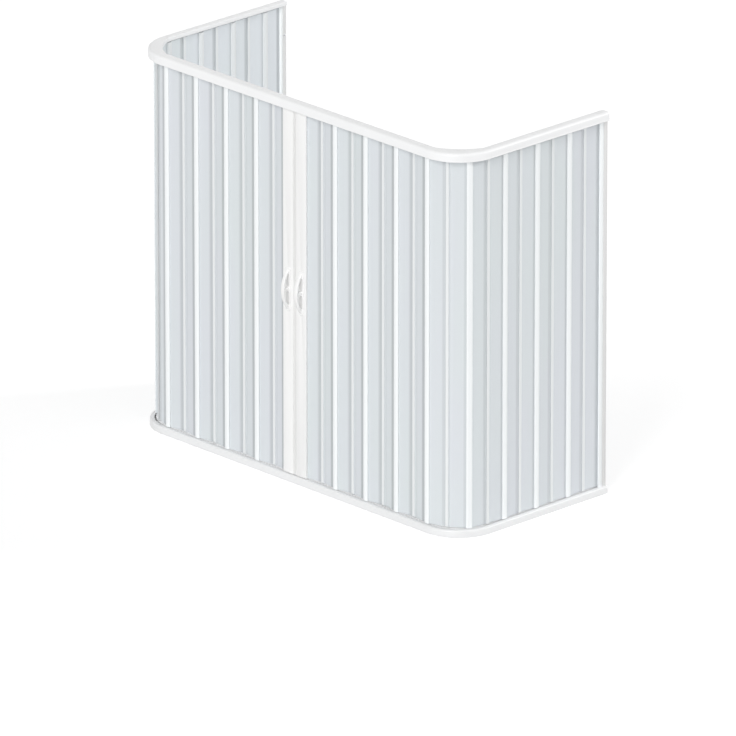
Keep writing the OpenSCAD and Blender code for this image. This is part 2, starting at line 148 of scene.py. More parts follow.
class CurtainSettings(bpy.types.PropertyGroup):
    """Sizes and colours of the slats and hinge strips."""

    slat: size("Slat thickness", "Thickness of a slat over its ribs", 0.002)
    bead: size("Bead radius", "Radius of the bead along each slat edge", 0.0024)
    rib_pitch: size("Rib pitch", "Distance between the fine upright ribs", 0.0041)
    rib_depth: size("Rib depth", "Depth of the flutes between ribs", 0.00035)
    socket_bore: size("Socket bore", "Radius of a hinge strip's socket", 0.00246)
    socket_wall: size("Socket wall", "Wall round the socket", 0.00175)
    cap_width: size("Cap width", "Width of a hinge strip's cap", 0.021)
    cap_thickness: size("Cap thickness", "Thickness of the cap at its middle", 0.0025)
    cap_crown: size("Cap crown", "Rise of the cap's middle over its edges", 0.0028)
    cap_to_axis: size("Cap to hinge", "Distance from the cap's face to the hinge axes", 0.0072)
    slat_colour: colour_of("Slat colour", "Colour of the slats", (0.686, 0.714, 0.748))
    slat_drift: colour_of(
        "Slat second colour", "Colour that the slats drift towards", (0.681, 0.724, 0.738))
    # Painted light: this lightens the colour of the standing slats' inner faces; no light passes through the
    # slats.
    painted_inner_light: amount(
        "Inner light", "Light that comes through the standing slats to their inner face", 0.08)
    # Painted shade: the knee strips, and the part of every strip behind its cap, are coloured darker by the first
    # factor; the knees in the first half of the left bend are darker still by the second.
    knee_shade: amount("Knee tone", "Tone of the inner hinge strips beside the outer ones", 0.88)
    bend_shade: amount("Bend knee tone", "Further tone of the knee in the left bend", 0.74)
    strip_colour: colour_of("Strip colour", "Colour of the hinge strips", (0.915, 0.94, 0.95))


class PostSettings(bpy.types.PropertyGroup):
    """Sizes and colours of the closing posts, their seals and the wall profiles."""

    edge: size("Edges", "Rounding of the post and profile edges", 0.0007)
    seal_lip: size("Seal groove", "Depth of the grooves along the magnet seals", 0.0009)
    post_colour: colour_of("Post colour", "Colour of the posts and wall profiles", (0.90, 0.90, 0.895))
    seal_colour: colour_of("Seal colour", "Colour of the magnet seals", (0.83, 0.83, 0.822))


class HandleSettings(bpy.types.PropertyGroup):
    """Sizes and colour of the two bow handles."""

    bow_width: size("Bow width", "Width of the bow", 0.016)
    bow_thickness: size("Bow thickness", "Thickness of the bow", 0.008)
    bridge_height: size("Bridge height", "Height of the bridge at the middle of the bow", 0.014)
    plate_width: size("Plate width", "Width of the back plate", 0.026)
    plate_thickness: size("Plate thickness", "Thickness of the back plate", 0.0025)
    end_inset: size("End inset", "Distance from the plate's ends to the bow's ends", 0.005)
    slot_half_width: size("Slot half width", "Half the width of the dishes in the plate", 0.0074)
    slot_low: size("Slot start", "Distance from the handle's middle to a dish", 0.0088)
    slot_high: size("Slot end", "Distance from the handle's middle to a dish's far end", 0.055)
    slot_depth: size("Slot depth", "Depth of the dishes", 0.0013)
    # Painted shade: the dishes in the handle's plate are coloured darker by this factor, as if in shadow.
    slot_shade: amount("Slot tone", "Tone of the dishes beside the plate's", 0.76)
    voxel: size("Blend size", "Voxel size that blends bow, bridge and plate", 0.0007)
    colour: colour_of("Colour", "Colour of the handles", (0.90, 0.90, 0.895))


class HardwareSettings(bpy.types.PropertyGroup):
    """Sizes and colours of the runners, guide pins and screws."""

    edge: size("Edges", "Rounding of the moulded runners", 0.0004)
    head_radius: size("Screw head radius", "Radius of the jamb screws' heads", 0.0032)
    head_height: size("Screw head height", "Height of the jamb screws' heads", 0.0016)
    nylon_colour: colour_of("Runner colour", "Colour of the runners and guide pins", (0.72, 0.73, 0.74))
    steel_colour: colour_of("Screw colour", "Colour of the plated screws", (0.62, 0.63, 0.65))


class StageSettings(bpy.types.PropertyGroup):
    """Camera, lamps and floor."""

    azimuth: angle_of("Azimuth", "Camera heading round the enclosure", 46.371)
    elevation: angle_of("Elevation", "Camera height above the horizon", 20.326)
    target: FloatVectorProperty(
        name="Target", description="Point that the camera looks at", subtype="XYZ", unit="LENGTH",
        default=(0.3672, FRONT_Y, 0.5126))
    distance: size("Distance", "Distance from the camera to the target", 50.125)
    lens: FloatProperty(
        name="Lens", description="Focal length in millimetres", default=733.7)
    ambient: amount("Ambient", "Even light from all round", 0.47)
    front_lamp: amount("Front lamp", "Strength of the lamp high in front", 0.9)
    front_direction: direction_of("Front direction", "Direction towards the front lamp", (0.30, -0.72, 0.60))
    front_spread: angle_of("Front spread", "Angle that the front lamp fills", 22)
    fill_lamp: amount("Fill lamp", "Strength of the low front lamp, which casts no shadows", 1.05)
    fill_direction: direction_of("Fill direction", "Direction towards the fill lamp", (0.42, -0.88, 0.22))
    fill_spread: angle_of("Fill spread", "Angle that the fill lamp fills", 30)
    back_lamp: amount("Back lamp", "Strength of the lamp behind on the right", 1.27)
    back_direction: direction_of("Back direction", "Direction towards the back lamp", (0.53, 0.78, 0.36))
    back_spread: angle_of("Back spread", "Angle that the back lamp fills", 10)
    floor_radius: size("Floor radius", "Radius of the floor", 60)
    floor_colour: colour_of("Floor colour", "Colour of the floor", (0.63, 0.63, 0.63))
    floor_glow: amount("Floor glow", "Part of the floor's white that the camera sees by itself", 0.53)


# Node helpers

def add_node(tree, kind, inputs=None, **settings):
    """Adds a node; inputs maps a socket's name or number to a value, or to an output to link."""
    node = tree.nodes.new(kind)
    for key, value in settings.items():
        setattr(node, key, value)
    for key, value in (inputs or {}).items():
        if isinstance(value, bpy.types.NodeSocket):
            tree.links.new(value, node.inputs[key])
        else:
            node.inputs[key].default_value = value
    return node


def new_group(name, kind, inputs, outputs):
    """A node group with named inputs (name, socket kind, default) and named outputs."""
    group = bpy.data.node_groups.new(name, kind)
    for label, socket_kind, default in inputs:
        socket = group.interface.new_socket(label, in_out="INPUT", socket_type=socket_kind)
        if default is not None:
            socket.default_value = default
    for label, socket_kind in outputs:
        group.interface.new_socket(label, in_out="OUTPUT", socket_type=socket_kind)
    return group, add_node(group, "NodeGroupInput").outputs


def group_out(group, **results):
    """Links a group's results to its outputs; an underscore in a name stands for a space."""
    out = add_node(group, "NodeGroupOutput")
    for label, socket in results.items():
        group.links.new(socket, out.inputs[label.replace("_", " ")])


def mixed(tree, factor, a, b):
    """A colour between two colours."""
    node = add_node(tree, "ShaderNodeMix", {"Factor": factor, "A": a, "B": b}, data_type="RGBA")
    return [socket for socket in node.outputs if socket.type == "RGBA"][0]


def math_node(tree, operation, a, b=0.0):
    """One arithmetic step on two values."""
    return add_node(tree, "ShaderNodeMath", {0: a, 1: b}, operation=operation).outputs[0]


def named_value(tree, name):
    """The value of a named attribute at each point."""
    node = add_node(tree, "GeometryNodeInputNamedAttribute", {"Name": name}, data_type="FLOAT")
    return node.outputs["Attribute"]


def copies_at_points(tree, points, shape):
    """A copy of the shape at each point, turned to its heading."""
    turn = add_node(tree, "ShaderNodeCombineXYZ", {"Z": named_value(tree, "heading")})
    rotation = add_node(tree, "FunctionNodeEulerToRotation", {"Euler": turn.outputs[0]})
    return add_node(tree, "GeometryNodeInstanceOnPoints", {
        "Points": points, "Instance": shape, "Rotation": rotation.outputs[0]}).outputs[0]


def finished_tree(tree, shape, material):
    """Ends a tree with its shape made real and its material set."""
    real = add_node(tree, "GeometryNodeRealizeInstances", {"Geometry": shape})
    finish = add_node(tree, "GeometryNodeSetMaterial", {
        "Geometry": real.outputs[0], "Material": material})
    group_out(tree, Geometry=finish.outputs[0])
    return tree


# Geometry node trees

def rail_sweep_tree():
    """Sweeps a rail section along its path, with the bend and the section's corners rounded."""
    tree, given = new_group("Rail sweep", "GeometryNodeTree", [
        ("Geometry", "NodeSocketGeometry", None),
        ("Section", "NodeSocketObject", None),
        ("Bend Radius", "NodeSocketFloat", 0.1),
        ("Bend Steps", "NodeSocketInt", 40),
        ("Corner Steps", "NodeSocketInt", 4),
        ("Material", "NodeSocketMaterial", None),
    ], [("Geometry", "NodeSocketGeometry")])
    path = add_node(tree, "GeometryNodeMeshToCurve", {"Mesh": given["Geometry"]})
    bend = add_node(tree, "GeometryNodeFilletCurve", {
        "Curve": path.outputs[0],
        "Count": given["Bend Steps"],
        "Radius": given["Bend Radius"],
        "Limit Radius": True,
    }, mode="POLY")
    level = add_node(tree, "GeometryNodeSetCurveNormal", {"Curve": bend.outputs[0]}, mode="Z_UP")
    shape = add_node(tree, "GeometryNodeObjectInfo", {"Object": given["Section"]})
    outline = add_node(tree, "GeometryNodeMeshToCurve", {"Mesh": shape.outputs["Geometry"]})
    rounded = add_node(tree, "GeometryNodeFilletCurve", {
        "Curve": outline.outputs[0],
        "Count": given["Corner Steps"],
        "Radius": named_value(tree, "rounding"),
        "Limit Radius": True,
    }, mode="POLY")
    sweep = add_node(tree, "GeometryNodeCurveToMesh", {
        "Curve": level.outputs[0],
        "Profile Curve": rounded.outputs[0],
        "Fill Caps": True,
    })
    return finished_tree(tree, sweep.outputs[0], given["Material"])


def uprights_tree():
    """Stands a section up at each point, turned to its heading, with flutes cut in its faces."""
    tree, given = new_group("Uprights", "GeometryNodeTree", [
        ("Geometry", "NodeSocketGeometry", None),
        ("Section", "NodeSocketObject", None),
        ("Bottom", "NodeSocketFloat", 0.0),
        ("Top", "NodeSocketFloat", 1.0),
        ("Rib Pitch", "NodeSocketFloat", 0.004),
        ("Rib Depth", "NodeSocketFloat", 0.0),
        ("Material", "NodeSocketMaterial", None),
    ], [("Geometry", "NodeSocketGeometry")])
    shape = add_node(tree, "GeometryNodeObjectInfo", {"Object": given["Section"]})
    along = add_node(tree, "ShaderNodeSeparateXYZ", {
        0: add_node(tree, "GeometryNodeInputPosition").outputs[0]}).outputs["X"]
    half_pitch = math_node(tree, "MULTIPLY", given["Rib Pitch"], 0.5)
    wave = math_node(tree, "DIVIDE", math_node(tree, "PINGPONG", along, half_pitch), half_pitch)
    depth = math_node(tree, "MULTIPLY", math_node(
        tree, "MULTIPLY", wave, named_value(tree, "face")), given["Rib Depth"])
    offset = add_node(tree, "ShaderNodeCombineXYZ", {"Y": math_node(tree, "MULTIPLY", depth, -1.0)})
    fluted = add_node(tree, "GeometryNodeSetPosition", {
        "Geometry": shape.outputs["Geometry"],
        "Offset": offset.outputs[0],
    })
    outline = add_node(tree, "GeometryNodeMeshToCurve", {"Mesh": fluted.outputs[0]})
    low = add_node(tree, "ShaderNodeCombineXYZ", {"Z": given["Bottom"]})
    high = add_node(tree, "ShaderNodeCombineXYZ", {"Z": given["Top"]})
    line = add_node(tree, "GeometryNodeCurvePrimitiveLine", {
        "Start": low.outputs[0],
        "End": high.outputs[0],
    })
    level = add_node(tree, "GeometryNodeSetCurveNormal", {"Curve": line.outputs[0]}, mode="Z_UP")
    sweep = add_node(tree, "GeometryNodeCurveToMesh", {
        "Curve": level.outputs[0],
        "Profile Curve": outline.outputs[0],
        "Fill Caps": True,
    })
    stood = copies_at_points(tree, given["Geometry"], sweep.outputs[0])
    return finished_tree(tree, stood, given["Material"])


def repeated_parts_tree():
    """Sets a copy of one small part at each point, turned to its heading."""
    tree, given = new_group("Repeated parts", "GeometryNodeTree", [
        ("Geometry", "NodeSocketGeometry", None),
        ("Part", "NodeSocketObject", None),
        ("Material", "NodeSocketMaterial", None),
    ], [("Geometry", "NodeSocketGeometry")])
    part = add_node(tree, "GeometryNodeObjectInfo", {"Object": given["Part"]})
    placed = copies_at_points(tree, given["Geometry"], part.outputs["Geometry"])
    return finished_tree(tree, placed, given["Material"])


def tree_named(name, build):
    """The named tree, built the first time that it is asked for."""
    return bpy.data.node_groups.get(name) or build()


# Mesh helpers

def new_object(name, mesh):
    """Links a new object that holds the mesh, at the origin."""
    piece = bpy.data.objects.new(name, mesh)
    bpy.context.scene.collection.objects.link(piece)
    return piece


def chains_object(name, chains, closed=False, **attributes):
    """A mesh of edges along each chain of points, with optional values on its points."""
    points = [tuple(point) for chain in chains for point in chain]
    edges = []
    start = 0
    for chain in chains:
        count = len(chain)
        edges += [(start + i, start + i + 1) for i in range(count - 1)]
        if closed:
            edges.append((start + count - 1, start))
        start += count
    mesh = bpy.data.meshes.new(name)
    mesh.from_pydata(points, edges, [])
    for label, values in attributes.items():
        mesh.attributes.new(label, "FLOAT", "POINT").data.foreach_set("value", values)
    return new_object(name, mesh)


def outline_object(name, outline, **attributes):
    """A closed outline in the XY plane."""
    return chains_object(name, [[(x, y, 0) for x, y in outline]], closed=True, **attributes)


def points_object(name, places, headings):
    """Points in space, each with a heading about the vertical."""
    return chains_object(name, [[place] for place in places], heading=headings)


def arc(centre, radius, start, end, steps):
    """Points on an arc, its two ends included, with angles in degrees."""
    angles = [math.radians(start + (end - start) * i / steps) for i in range(steps + 1)]
    return [(centre[0] + radius * math.cos(a), centre[1] + radius * math.sin(a)) for a in angles]


def baked(piece):
    """The piece's mesh as its modifiers leave it."""
    depsgraph = bpy.context.evaluated_depsgraph_get()
    return bpy.data.meshes.new_from_object(piece.evaluated_get(depsgraph))


def run_tree(source, tree, inputs, name, helpers=()):
    """Runs a tree on the source, keeps the result as a plain mesh and drops the helpers."""
    modifier = source.modifiers.new("shape", "NODES")
    modifier.node_group = tree
    identifiers = {
        item.name: item.identifier
        for item in tree.interface.items_tree
        if item.item_type == "SOCKET" and item.in_out == "INPUT"
    }
    for label, value in inputs.items():
        modifier[identifiers[label]] = value
    mesh = baked(source)
    source.modifiers.remove(modifier)
    for spare in (source, *helpers):
        bpy.data.objects.remove(spare)
    mesh.name = name
    return new_object(name, mesh)


def points_of(mesh):
    """The mesh's points as rows of an array."""
    spots = np.empty(len(mesh.vertices) * 3)
    mesh.vertices.foreach_get("co", spots)
    return spots.reshape(-1, 3)


def band(shape, near, far):
    """A band of faces between two rings of the same number of points."""
    for i in range(len(near)):
        j = (i + 1) % len(near)
        shape.faces.new((near[i], near[j], far[j], far[i]))


def merged_shape(mesh):
    """The mesh for editing, with its doubles merged."""
    shape = bmesh.new()
    shape.from_mesh(mesh)
    bmesh.ops.remove_doubles(shape, verts=shape.verts, dist=MERGE)
    return shape


def shade(piece):
    """Shades the piece smoothly, with sharp edges where it turns by more than the sharp angle."""
    piece.data.shade_smooth()
    piece.data.set_sharp_from_angle(angle=SHARP_ANGLE)


def tidy_mesh(piece):
    """Merges doubles, points every face outwards and shades smoothly up to an angle."""
    shape = merged_shape(piece.data)
    bmesh.ops.recalc_face_normals(shape, faces=shape.faces)
    shape.to_mesh(piece.data)
    shape.free()
    for label in ("heading", "rounding", "face"):
        found = piece.data.attributes.get(label)
        if found:
            piece.data.attributes.remove(found)
    shade(piece)


def join_mesh(piece, extra):
    """Adds the extra object's faces to a piece, and drops the extra object."""
    shape = bmesh.new()
    shape.from_mesh(piece.data)
    shape.from_mesh(extra.data)
    shape.to_mesh(piece.data)
    shape.free()
    bpy.data.objects.remove(extra)
    piece.data.set_sharp_from_angle(angle=SHARP_ANGLE)


def bevel_edges(piece, width):
    """Rounds the piece's sharp edges, and keeps the result."""
    modifier = piece.modifiers.new("rounding", "BEVEL")
    modifier.width = width
    modifier.segments = 2
    modifier.limit_method = "ANGLE"
    modifier.angle_limit = math.radians(50)
    modifier.use_clamp_overlap = True
    modifier.miter_outer = "MITER_ARC"
    mesh = baked(piece)
    piece.modifiers.remove(modifier)
    old = piece.data
    piece.data = mesh
    bpy.data.meshes.remove(old)


def attach(piece, node):
    """Sets a finished piece on its node's body, in its node's place."""
    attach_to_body(piece, BODY_OF[node])
    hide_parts(node)


def check_place(piece, node, slack=0.002):
    """Stops the build if a piece strays from the node that it stands for."""
    corners = points_of(piece.data)
    low, high = (np.array(corner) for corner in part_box(node))
    off = max(np.abs(corners.min(0) - low).max(), np.abs(corners.max(0) - high).max())
    if off > slack:
        raise RuntimeError(f"{piece.name} lies {off * 1000:.1f} mm away from {node}")


def dressed_copy(node, name, material, edge):
    """A merged copy of a node with its sharp edges rounded and a finish on it."""
    piece = new_object(name, frame["nodes"][node].data.copy())
    shape = merged_shape(piece.data)
    bmesh.ops.dissolve_limit(shape, angle_limit=FLAT_ANGLE, verts=shape.verts, edges=shape.edges)
    shape.to_mesh(piece.data)
    shape.free()
    bevel_edges(piece, edge)
    shade(piece)
    piece.data.materials.clear()
    piece.data.materials.append(material)
    attach(piece, node)
    return piece


def islands(node):
    """Each separate solid of a node, as an array of its points."""
    shape = merged_shape(frame["nodes"][node].data)
    waiting = set(shape.verts)
    found = []
    while waiting:
        reached = {waiting.pop()}
        edge = list(reached)
        while edge:
            near = {v for vertex in edge for e in vertex.link_edges for v in e.verts} - reached
            reached |= near
            edge = list(near)
        waiting -= reached
        found.append(np.array([vertex.co for vertex in reached]))
    shape.free()
    return sorted(found, key=lambda points: tuple(points.mean(0).round(4)))


# Finishes

# Colour of the specks on upward faces: a dusting that also paints shade there.
DUST_AND_SHADE_COLOUR = (0.52, 0.51, 0.49, 1)


def surface_group():
    """Drawn or moulded plastic: faint lines, soft mottling, fine grain, and grey specks on upward faces that are a
    dusting and painted shade at once.
    """
    group, given = new_group("Plastic surface", "ShaderNodeTree", [
        ("Coordinates", "NodeSocketVector", None),
        ("Colour", "NodeSocketColor", (0.8, 0.8, 0.8, 1)),
        ("Second Colour", "NodeSocketColor", (0.8, 0.8, 0.8, 1)),
        ("Line Stretch", "NodeSocketVector", (300, 300, 2)),
        ("Line Strength", "NodeSocketFloat", 0.02),
        ("Drift Stretch", "NodeSocketVector", (6, 6, 1.5)),
        ("Roughness", "NodeSocketFloat", 0.4),
        ("Dust", "NodeSocketFloat", 0.05),
    ], [
        ("Colour", "NodeSocketColor"),
        ("Roughness", "NodeSocketFloat"),
        ("Height", "NodeSocketFloat"),
    ])

    def noise(stretch, detail):
        place = add_node(group, "ShaderNodeVectorMath", {
            0: given["Coordinates"], 1: stretch}, operation="MULTIPLY")
        return add_node(group, "ShaderNodeTexNoise", {
            "Vector": place.outputs[0], "Scale": 1.0, "Detail": detail}).outputs["Fac"]

    lines = noise(given["Line Stretch"], 2.0)
    drift = noise(given["Drift Stretch"], 2.0)
    grain = noise((1400, 1400, 1400), 1.0)
    specks = noise((160, 160, 160), 3.0)
    spread = add_node(group, "ShaderNodeMapRange", {
        "Value": drift, "From Min": 0.35, "From Max": 0.65}).outputs[0]
    tinted = mixed(group, spread, given["Colour"], given["Second Colour"])
    shade = math_node(group, "MULTIPLY", math_node(
        group, "SUBTRACT", lines, 0.5), given["Line Strength"])
    level = math_node(group, "ADD", shade, 1.0)
    lined = add_node(group, "ShaderNodeVectorMath", {0: tinted}, operation="SCALE")
    group.links.new(level, lined.inputs["Scale"])
    facing = add_node(group, "ShaderNodeSeparateXYZ", {
        0: add_node(group, "ShaderNodeNewGeometry").outputs["Normal"]}).outputs["Z"]
    upward = add_node(group, "ShaderNodeMapRange", {
        "Value": facing, "From Min": 0.05, "From Max": 0.5}).outputs[0]
    # Painted shade and dusting: upward faces are darkened towards the speck colour.
    dust_and_shade_mask = math_node(group, "MULTIPLY", math_node(
        group, "MULTIPLY", upward, specks), given["Dust"])
    dusted_and_shaded = mixed(group, dust_and_shade_mask, lined.outputs[0], DUST_AND_SHADE_COLOUR)
    rough_step = math_node(group, "MULTIPLY", math_node(group, "SUBTRACT", drift, 0.5), 0.16)
    rough = math_node(group, "ADD", math_node(
        group, "ADD", given["Roughness"], rough_step), math_node(group, "MULTIPLY", dust_and_shade_mask, 0.5))
    height = math_node(group, "ADD", lines, math_node(group, "MULTIPLY", grain, 0.4))
    group_out(group, Colour=dusted_and_shaded, Roughness=rough, Height=height)
    return group


def new_material(name):
    """A material with an empty node tree, and that tree."""
    material = bpy.data.materials.new(name)
    material.use_nodes = True
    material.node_tree.nodes.clear()
    return material, material.node_tree


def plastic(
        name, colour, second, roughness, stretch, strength, coat=0.0, dust_and_shade=0.05, bump=0.00004,
        toned=False):
    """A plastic finish whose lines follow the way that it was drawn."""
    material, tree = new_material(name)
    place = add_node(tree, "ShaderNodeTexCoord")
    surface = add_node(
        tree, "ShaderNodeGroup", node_tree=tree_named("Plastic surface", surface_group))
    tree.links.new(place.outputs["Object"], surface.inputs["Coordinates"])
    values = {
        "Colour": (*colour, 1), "Second Colour": (*second, 1), "Line Stretch": stretch,
        "Line Strength": strength, "Roughness": roughness, "Dust": dust_and_shade}
    for label, value in values.items():
        surface.inputs[label].default_value = value
    relief = add_node(tree, "ShaderNodeBump", {
        "Strength": 0.6, "Distance": bump, "Height": surface.outputs["Height"]})
    colour_out = surface.outputs["Colour"]
    # The tone attribute scales the colour: painted shade and painted light on slats and strips, painted shade in
    # the handle's dishes.
    if toned:
        tone = add_node(tree, "ShaderNodeAttribute", attribute_name="tone")
        colour_out = add_node(tree, "ShaderNodeVectorMath", {
            0: colour_out, "Scale": tone.outputs["Fac"]}, operation="SCALE").outputs[0]
    shader = add_node(tree, "ShaderNodeBsdfPrincipled", {
        "Base Color": colour_out,
        "Roughness": surface.outputs["Roughness"],
        "Normal": relief.outputs[0],
        "IOR": 1.46,
        "Coat Weight": coat,
        "Coat Roughness": 0.25,
    })
    add_node(tree, "ShaderNodeOutputMaterial", {"Surface": shader.outputs[0]})
    return material


def shaded(colour, factor):
    """A colour made lighter or darker by a factor."""
    return tuple(min(1.0, value * factor) for value in colour)


def finish_named(name):
    """The finish with that name, made the first time that it is asked for."""
    found = bpy.data.materials.get(name)
    if found:
        return found
    scene = bpy.context.scene
    curtain, rails = scene.enclosure_curtain, scene.enclosure_rails
    posts, handles = scene.enclosure_posts, scene.enclosure_handles
    upright_lines, rail_lines, even = (420, 420, 1.2), (1.2, 1.2, 420), (90, 90, 90)
    recipes = {
        # The last value darkens upward faces, dusting and painted shade at once; the top rail takes the most.
        "rail plastic": (rails.colour, 0.985, 0.34, rail_lines, 0.02, 0.15, 0.12),
        # Painted shade: the sill's plastic is the rail plastic made darker.
        "sill plastic": (shaded(rails.colour, 0.93), 0.985, 0.34, rail_lines, 0.02, 0.15, 0.05),
        "strip plastic": (curtain.strip_colour, 0.985, 0.32, upright_lines, 0.02, 0.15, 0.04),
        "post plastic": (posts.post_colour, 0.985, 0.34, upright_lines, 0.02, 0.15, 0.04),
        "channel plastic": (shaded(posts.post_colour, 0.82), 0.985, 0.38, upright_lines, 0.02, 0.1, 0.04),
        "jamb plastic": (curtain.strip_colour, 0.985, 0.34, upright_lines, 0.02, 0.15, 0.04),
        "seal plastic": (posts.seal_colour, 0.96, 0.55, upright_lines, 0.04, 0.0, 0.06),
        "handle plastic": (handles.colour, 0.99, 0.24, even, 0.01, 0.35, 0.03),
        "runner nylon": (scene.enclosure_hardware.nylon_colour, 0.95, 0.48, even, 0.03, 0.0, 0.05),
    }
    if name == "slat plastic":
        return plastic(
            name, curtain.slat_colour, curtain.slat_drift, 0.42, upright_lines, 0.05, dust_and_shade=0.03,
            toned=True)
    if name == "screw steel":
        return screw_steel(name, scene.enclosure_hardware.steel_colour)
    colour, second, roughness, stretch, strength, coat, dust_and_shade = recipes[name]
    return plastic(
        name, colour, shaded(colour, second), roughness, stretch, strength, coat=coat, dust_and_shade=dust_and_shade,
        toned=name in ("strip plastic", "handle plastic"))


def screw_steel(name, colour):
    """Zinc plated steel with a turned grain."""
    material, tree = new_material(name)
    place = add_node(tree, "ShaderNodeTexCoord")
    patches = add_node(tree, "ShaderNodeTexNoise", {
        "Vector": place.outputs["Object"], "Scale": 600.0, "Detail": 3.0})
    tone = mixed(tree, patches.outputs["Fac"], (*shaded(colour, 0.8), 1), (*colour, 1))
    rough = add_node(tree, "ShaderNodeMapRange", {
        "Value": patches.outputs["Fac"], "To Min": 0.25, "To Max": 0.45})
    relief = add_node(tree, "ShaderNodeBump", {
        "Strength": 0.3, "Distance": 0.00003, "Height": patches.outputs["Fac"]})
    shader = add_node(tree, "ShaderNodeBsdfPrincipled", {
        "Base Color": tone,
        "Roughness": rough.outputs[0],
        "Normal": relief.outputs[0],
        "Metallic": 1.0,
    })
    add_node(tree, "ShaderNodeOutputMaterial", {"Surface": shader.outputs[0]})
    return material


# Rails

def top_section(sizes):
    """Top rail section as (depth, height, rounding): fascia, top, inner lip and track ledges."""
    top, bottom = RAIL_HIGH.z, RAIL_LOW.z
    wall, small = sizes.wall, sizes.small_edge
    step = sizes.bead_step
    under_top = top - wall
    ledge_top = top - sizes.track_drop
    ledge_low = ledge_top - sizes.ledge
    near, far = HINGE_DEPTH - sizes.slot / 2, HINGE_DEPTH + sizes.slot / 2
    back = RAIL_DEPTH - wall
    return [
        (0, bottom, small),
        (0, bottom + sizes.bead, small),
        (step, bottom + sizes.bead + step, 2 * small),
        (0, top - sizes.edge, 0.0),
        (0, top, sizes.edge),
        (RAIL_DEPTH, top, 2 * small),
        (RAIL_DEPTH, top - sizes.lip, small),
        (back, top - sizes.lip, small),
        (back, ledge_low, small / 2),
        (far, ledge_low, small),
        (far, ledge_top, small),
        (back, ledge_top, small / 2),
        (back, under_top, small),
        (wall, under_top, sizes.edge - wall),
        (wall, ledge_top, small / 2),
        (near, ledge_top, small),
        (near, ledge_low, small),
        (wall, ledge_low, small / 2),
        (wall, bottom, small),
    ]


def bottom_section(sizes):
    """Bottom rail section as (depth, height, rounding): a hollow sill with a slot in its top."""
    top, bottom = SILL_HIGH.z, SILL_LOW.z
    wall, small = sizes.wall, sizes.small_edge
    near, far = HINGE_DEPTH - sizes.slot / 2, HINGE_DEPTH + sizes.slot / 2
    back = RAIL_DEPTH - wall
    return [
        (0, bottom, small),
        (0, top, sizes.sill_edge),
        (near, top, small),
        (near, top - wall, small),
        (wall, top - wall, sizes.sill_edge - wall),
        (wall, bottom + wall, small),
        (back, bottom + wall, small),
        (back, top - wall, small),
        (far, top - wall, small),
        (far, top, small),
        (RAIL_DEPTH, top, 2 * small),
        (RAIL_DEPTH, bottom, small),
    ]


def rail_paths(seam):
    """Paths of the rails' outer face for the front, the corners and the sides, in travel order."""
    lead = 0.001
    inner_x, inner_y = HALF_WIDTH - CORNER_RADIUS - lead, FRONT_Y + CORNER_RADIUS + lead
    near_x, near_y = inner_x - seam, inner_y + seam
    return {
        "front": [[(-near_x, FRONT_Y, 0), (near_x, FRONT_Y, 0)]],
        "corners": [
            [(-HALF_WIDTH, inner_y, 0), (-HALF_WIDTH, FRONT_Y, 0), (-inner_x, FRONT_Y, 0)],
            [(inner_x, FRONT_Y, 0), (HALF_WIDTH, FRONT_Y, 0), (HALF_WIDTH, inner_y, 0)],
        ],
        "sides": [
            [(-HALF_WIDTH, WALL_Y, 0), (-HALF_WIDTH, near_y, 0)],
            [(HALF_WIDTH, near_y, 0), (HALF_WIDTH, WALL_Y, 0)],
        ],
    }


def widen_corners(mesh, sizes):
    """Draws the inner lip of the top corner pieces inwards along the flatter arc of their web."""
    inner = CORNER_RADIUS - RAIL_DEPTH
    chord = (inner + sizes.wall / 4) / math.sqrt(2)
    rise = inner - sizes.corner_web - chord
    radius = (chord ** 2 + rise ** 2) / (2 * rise)
    back = (radius - inner + sizes.corner_web) / math.sqrt(2)
    spots = points_of(mesh)
    side = np.sign(spots[:, 0])
    across = np.abs(spots[:, 0]) - (HALF_WIDTH - CORNER_RADIUS)
    forward = FRONT_Y + CORNER_RADIUS - spots[:, 1]
    reach = np.hypot(across, forward)
    turned = (across + forward) / reach
    edge = np.sqrt(back ** 2 * (turned ** 2 - 2) + radius ** 2) - back * turned
    lip = (reach < inner + 1.05 * sizes.wall) & (across > 0) & (forward > 0)
    share = np.where(lip, np.clip(inner - edge, 0, None) / reach, 0)
    spots[:, 0] -= side * across * share
    spots[:, 1] += forward * share
    mesh.vertices.foreach_set("co", spots.ravel())


class ENCLOSURE_OT_rails(bpy.types.Operator):
    """Sweep the top and bottom rails along the front, round the corners and to the wall."""

    bl_idname = "enclosure.rails"
    bl_label = "Rails"
    bl_options = {"REGISTER", "UNDO"}

    def execute(self, context):
        sizes = context.scene.enclosure_rails
        tree = tree_named("Rail sweep", rail_sweep_tree)
        for level, section in (("top", top_section(sizes)), ("bottom", bottom_section(sizes))):
            for part, chains in rail_paths(sizes.seam).items():
                node = f"{level}_rail_{part}"
                name = f"{level}_rail_{part}_profile"
                outline = outline_object(
                    "section", [(-depth, -height) for depth, height, _ in section],
                    rounding=[rounding for _, _, rounding in section])
                piece = run_tree(chains_object("path", chains), tree, {
                    "Section": outline,
                    "Bend Radius": CORNER_RADIUS,
                    "Bend Steps": sizes.bend_steps,
                    "Corner Steps": 5,
                    "Material": finish_named("rail plastic" if level == "top" else "sill plastic"),
                }, name, helpers=(outline,))
                if node == "top_rail_corners":
                    widen_corners(piece.data, sizes)
                tidy_mesh(piece)
                check_place(piece, node)
                attach(piece, node)
        plugs = finish_named("sill plastic")
        dressed_copy(
            "rail_end_plugs", "rail_end_plugs_moulding", plugs, sizes.small_edge)
        return {"FINISHED"}


# Curtains

def edge_shade(distance, band):
    """Share of painted shade at a distance from a hinge axis (painted light where the depth is below 0); a band is
    (depth of tone, full to, gone by).
    """
    tone, full, gone = band
    return tone * min(1.0, max(0.0, (gone - distance) / (gone - full)))


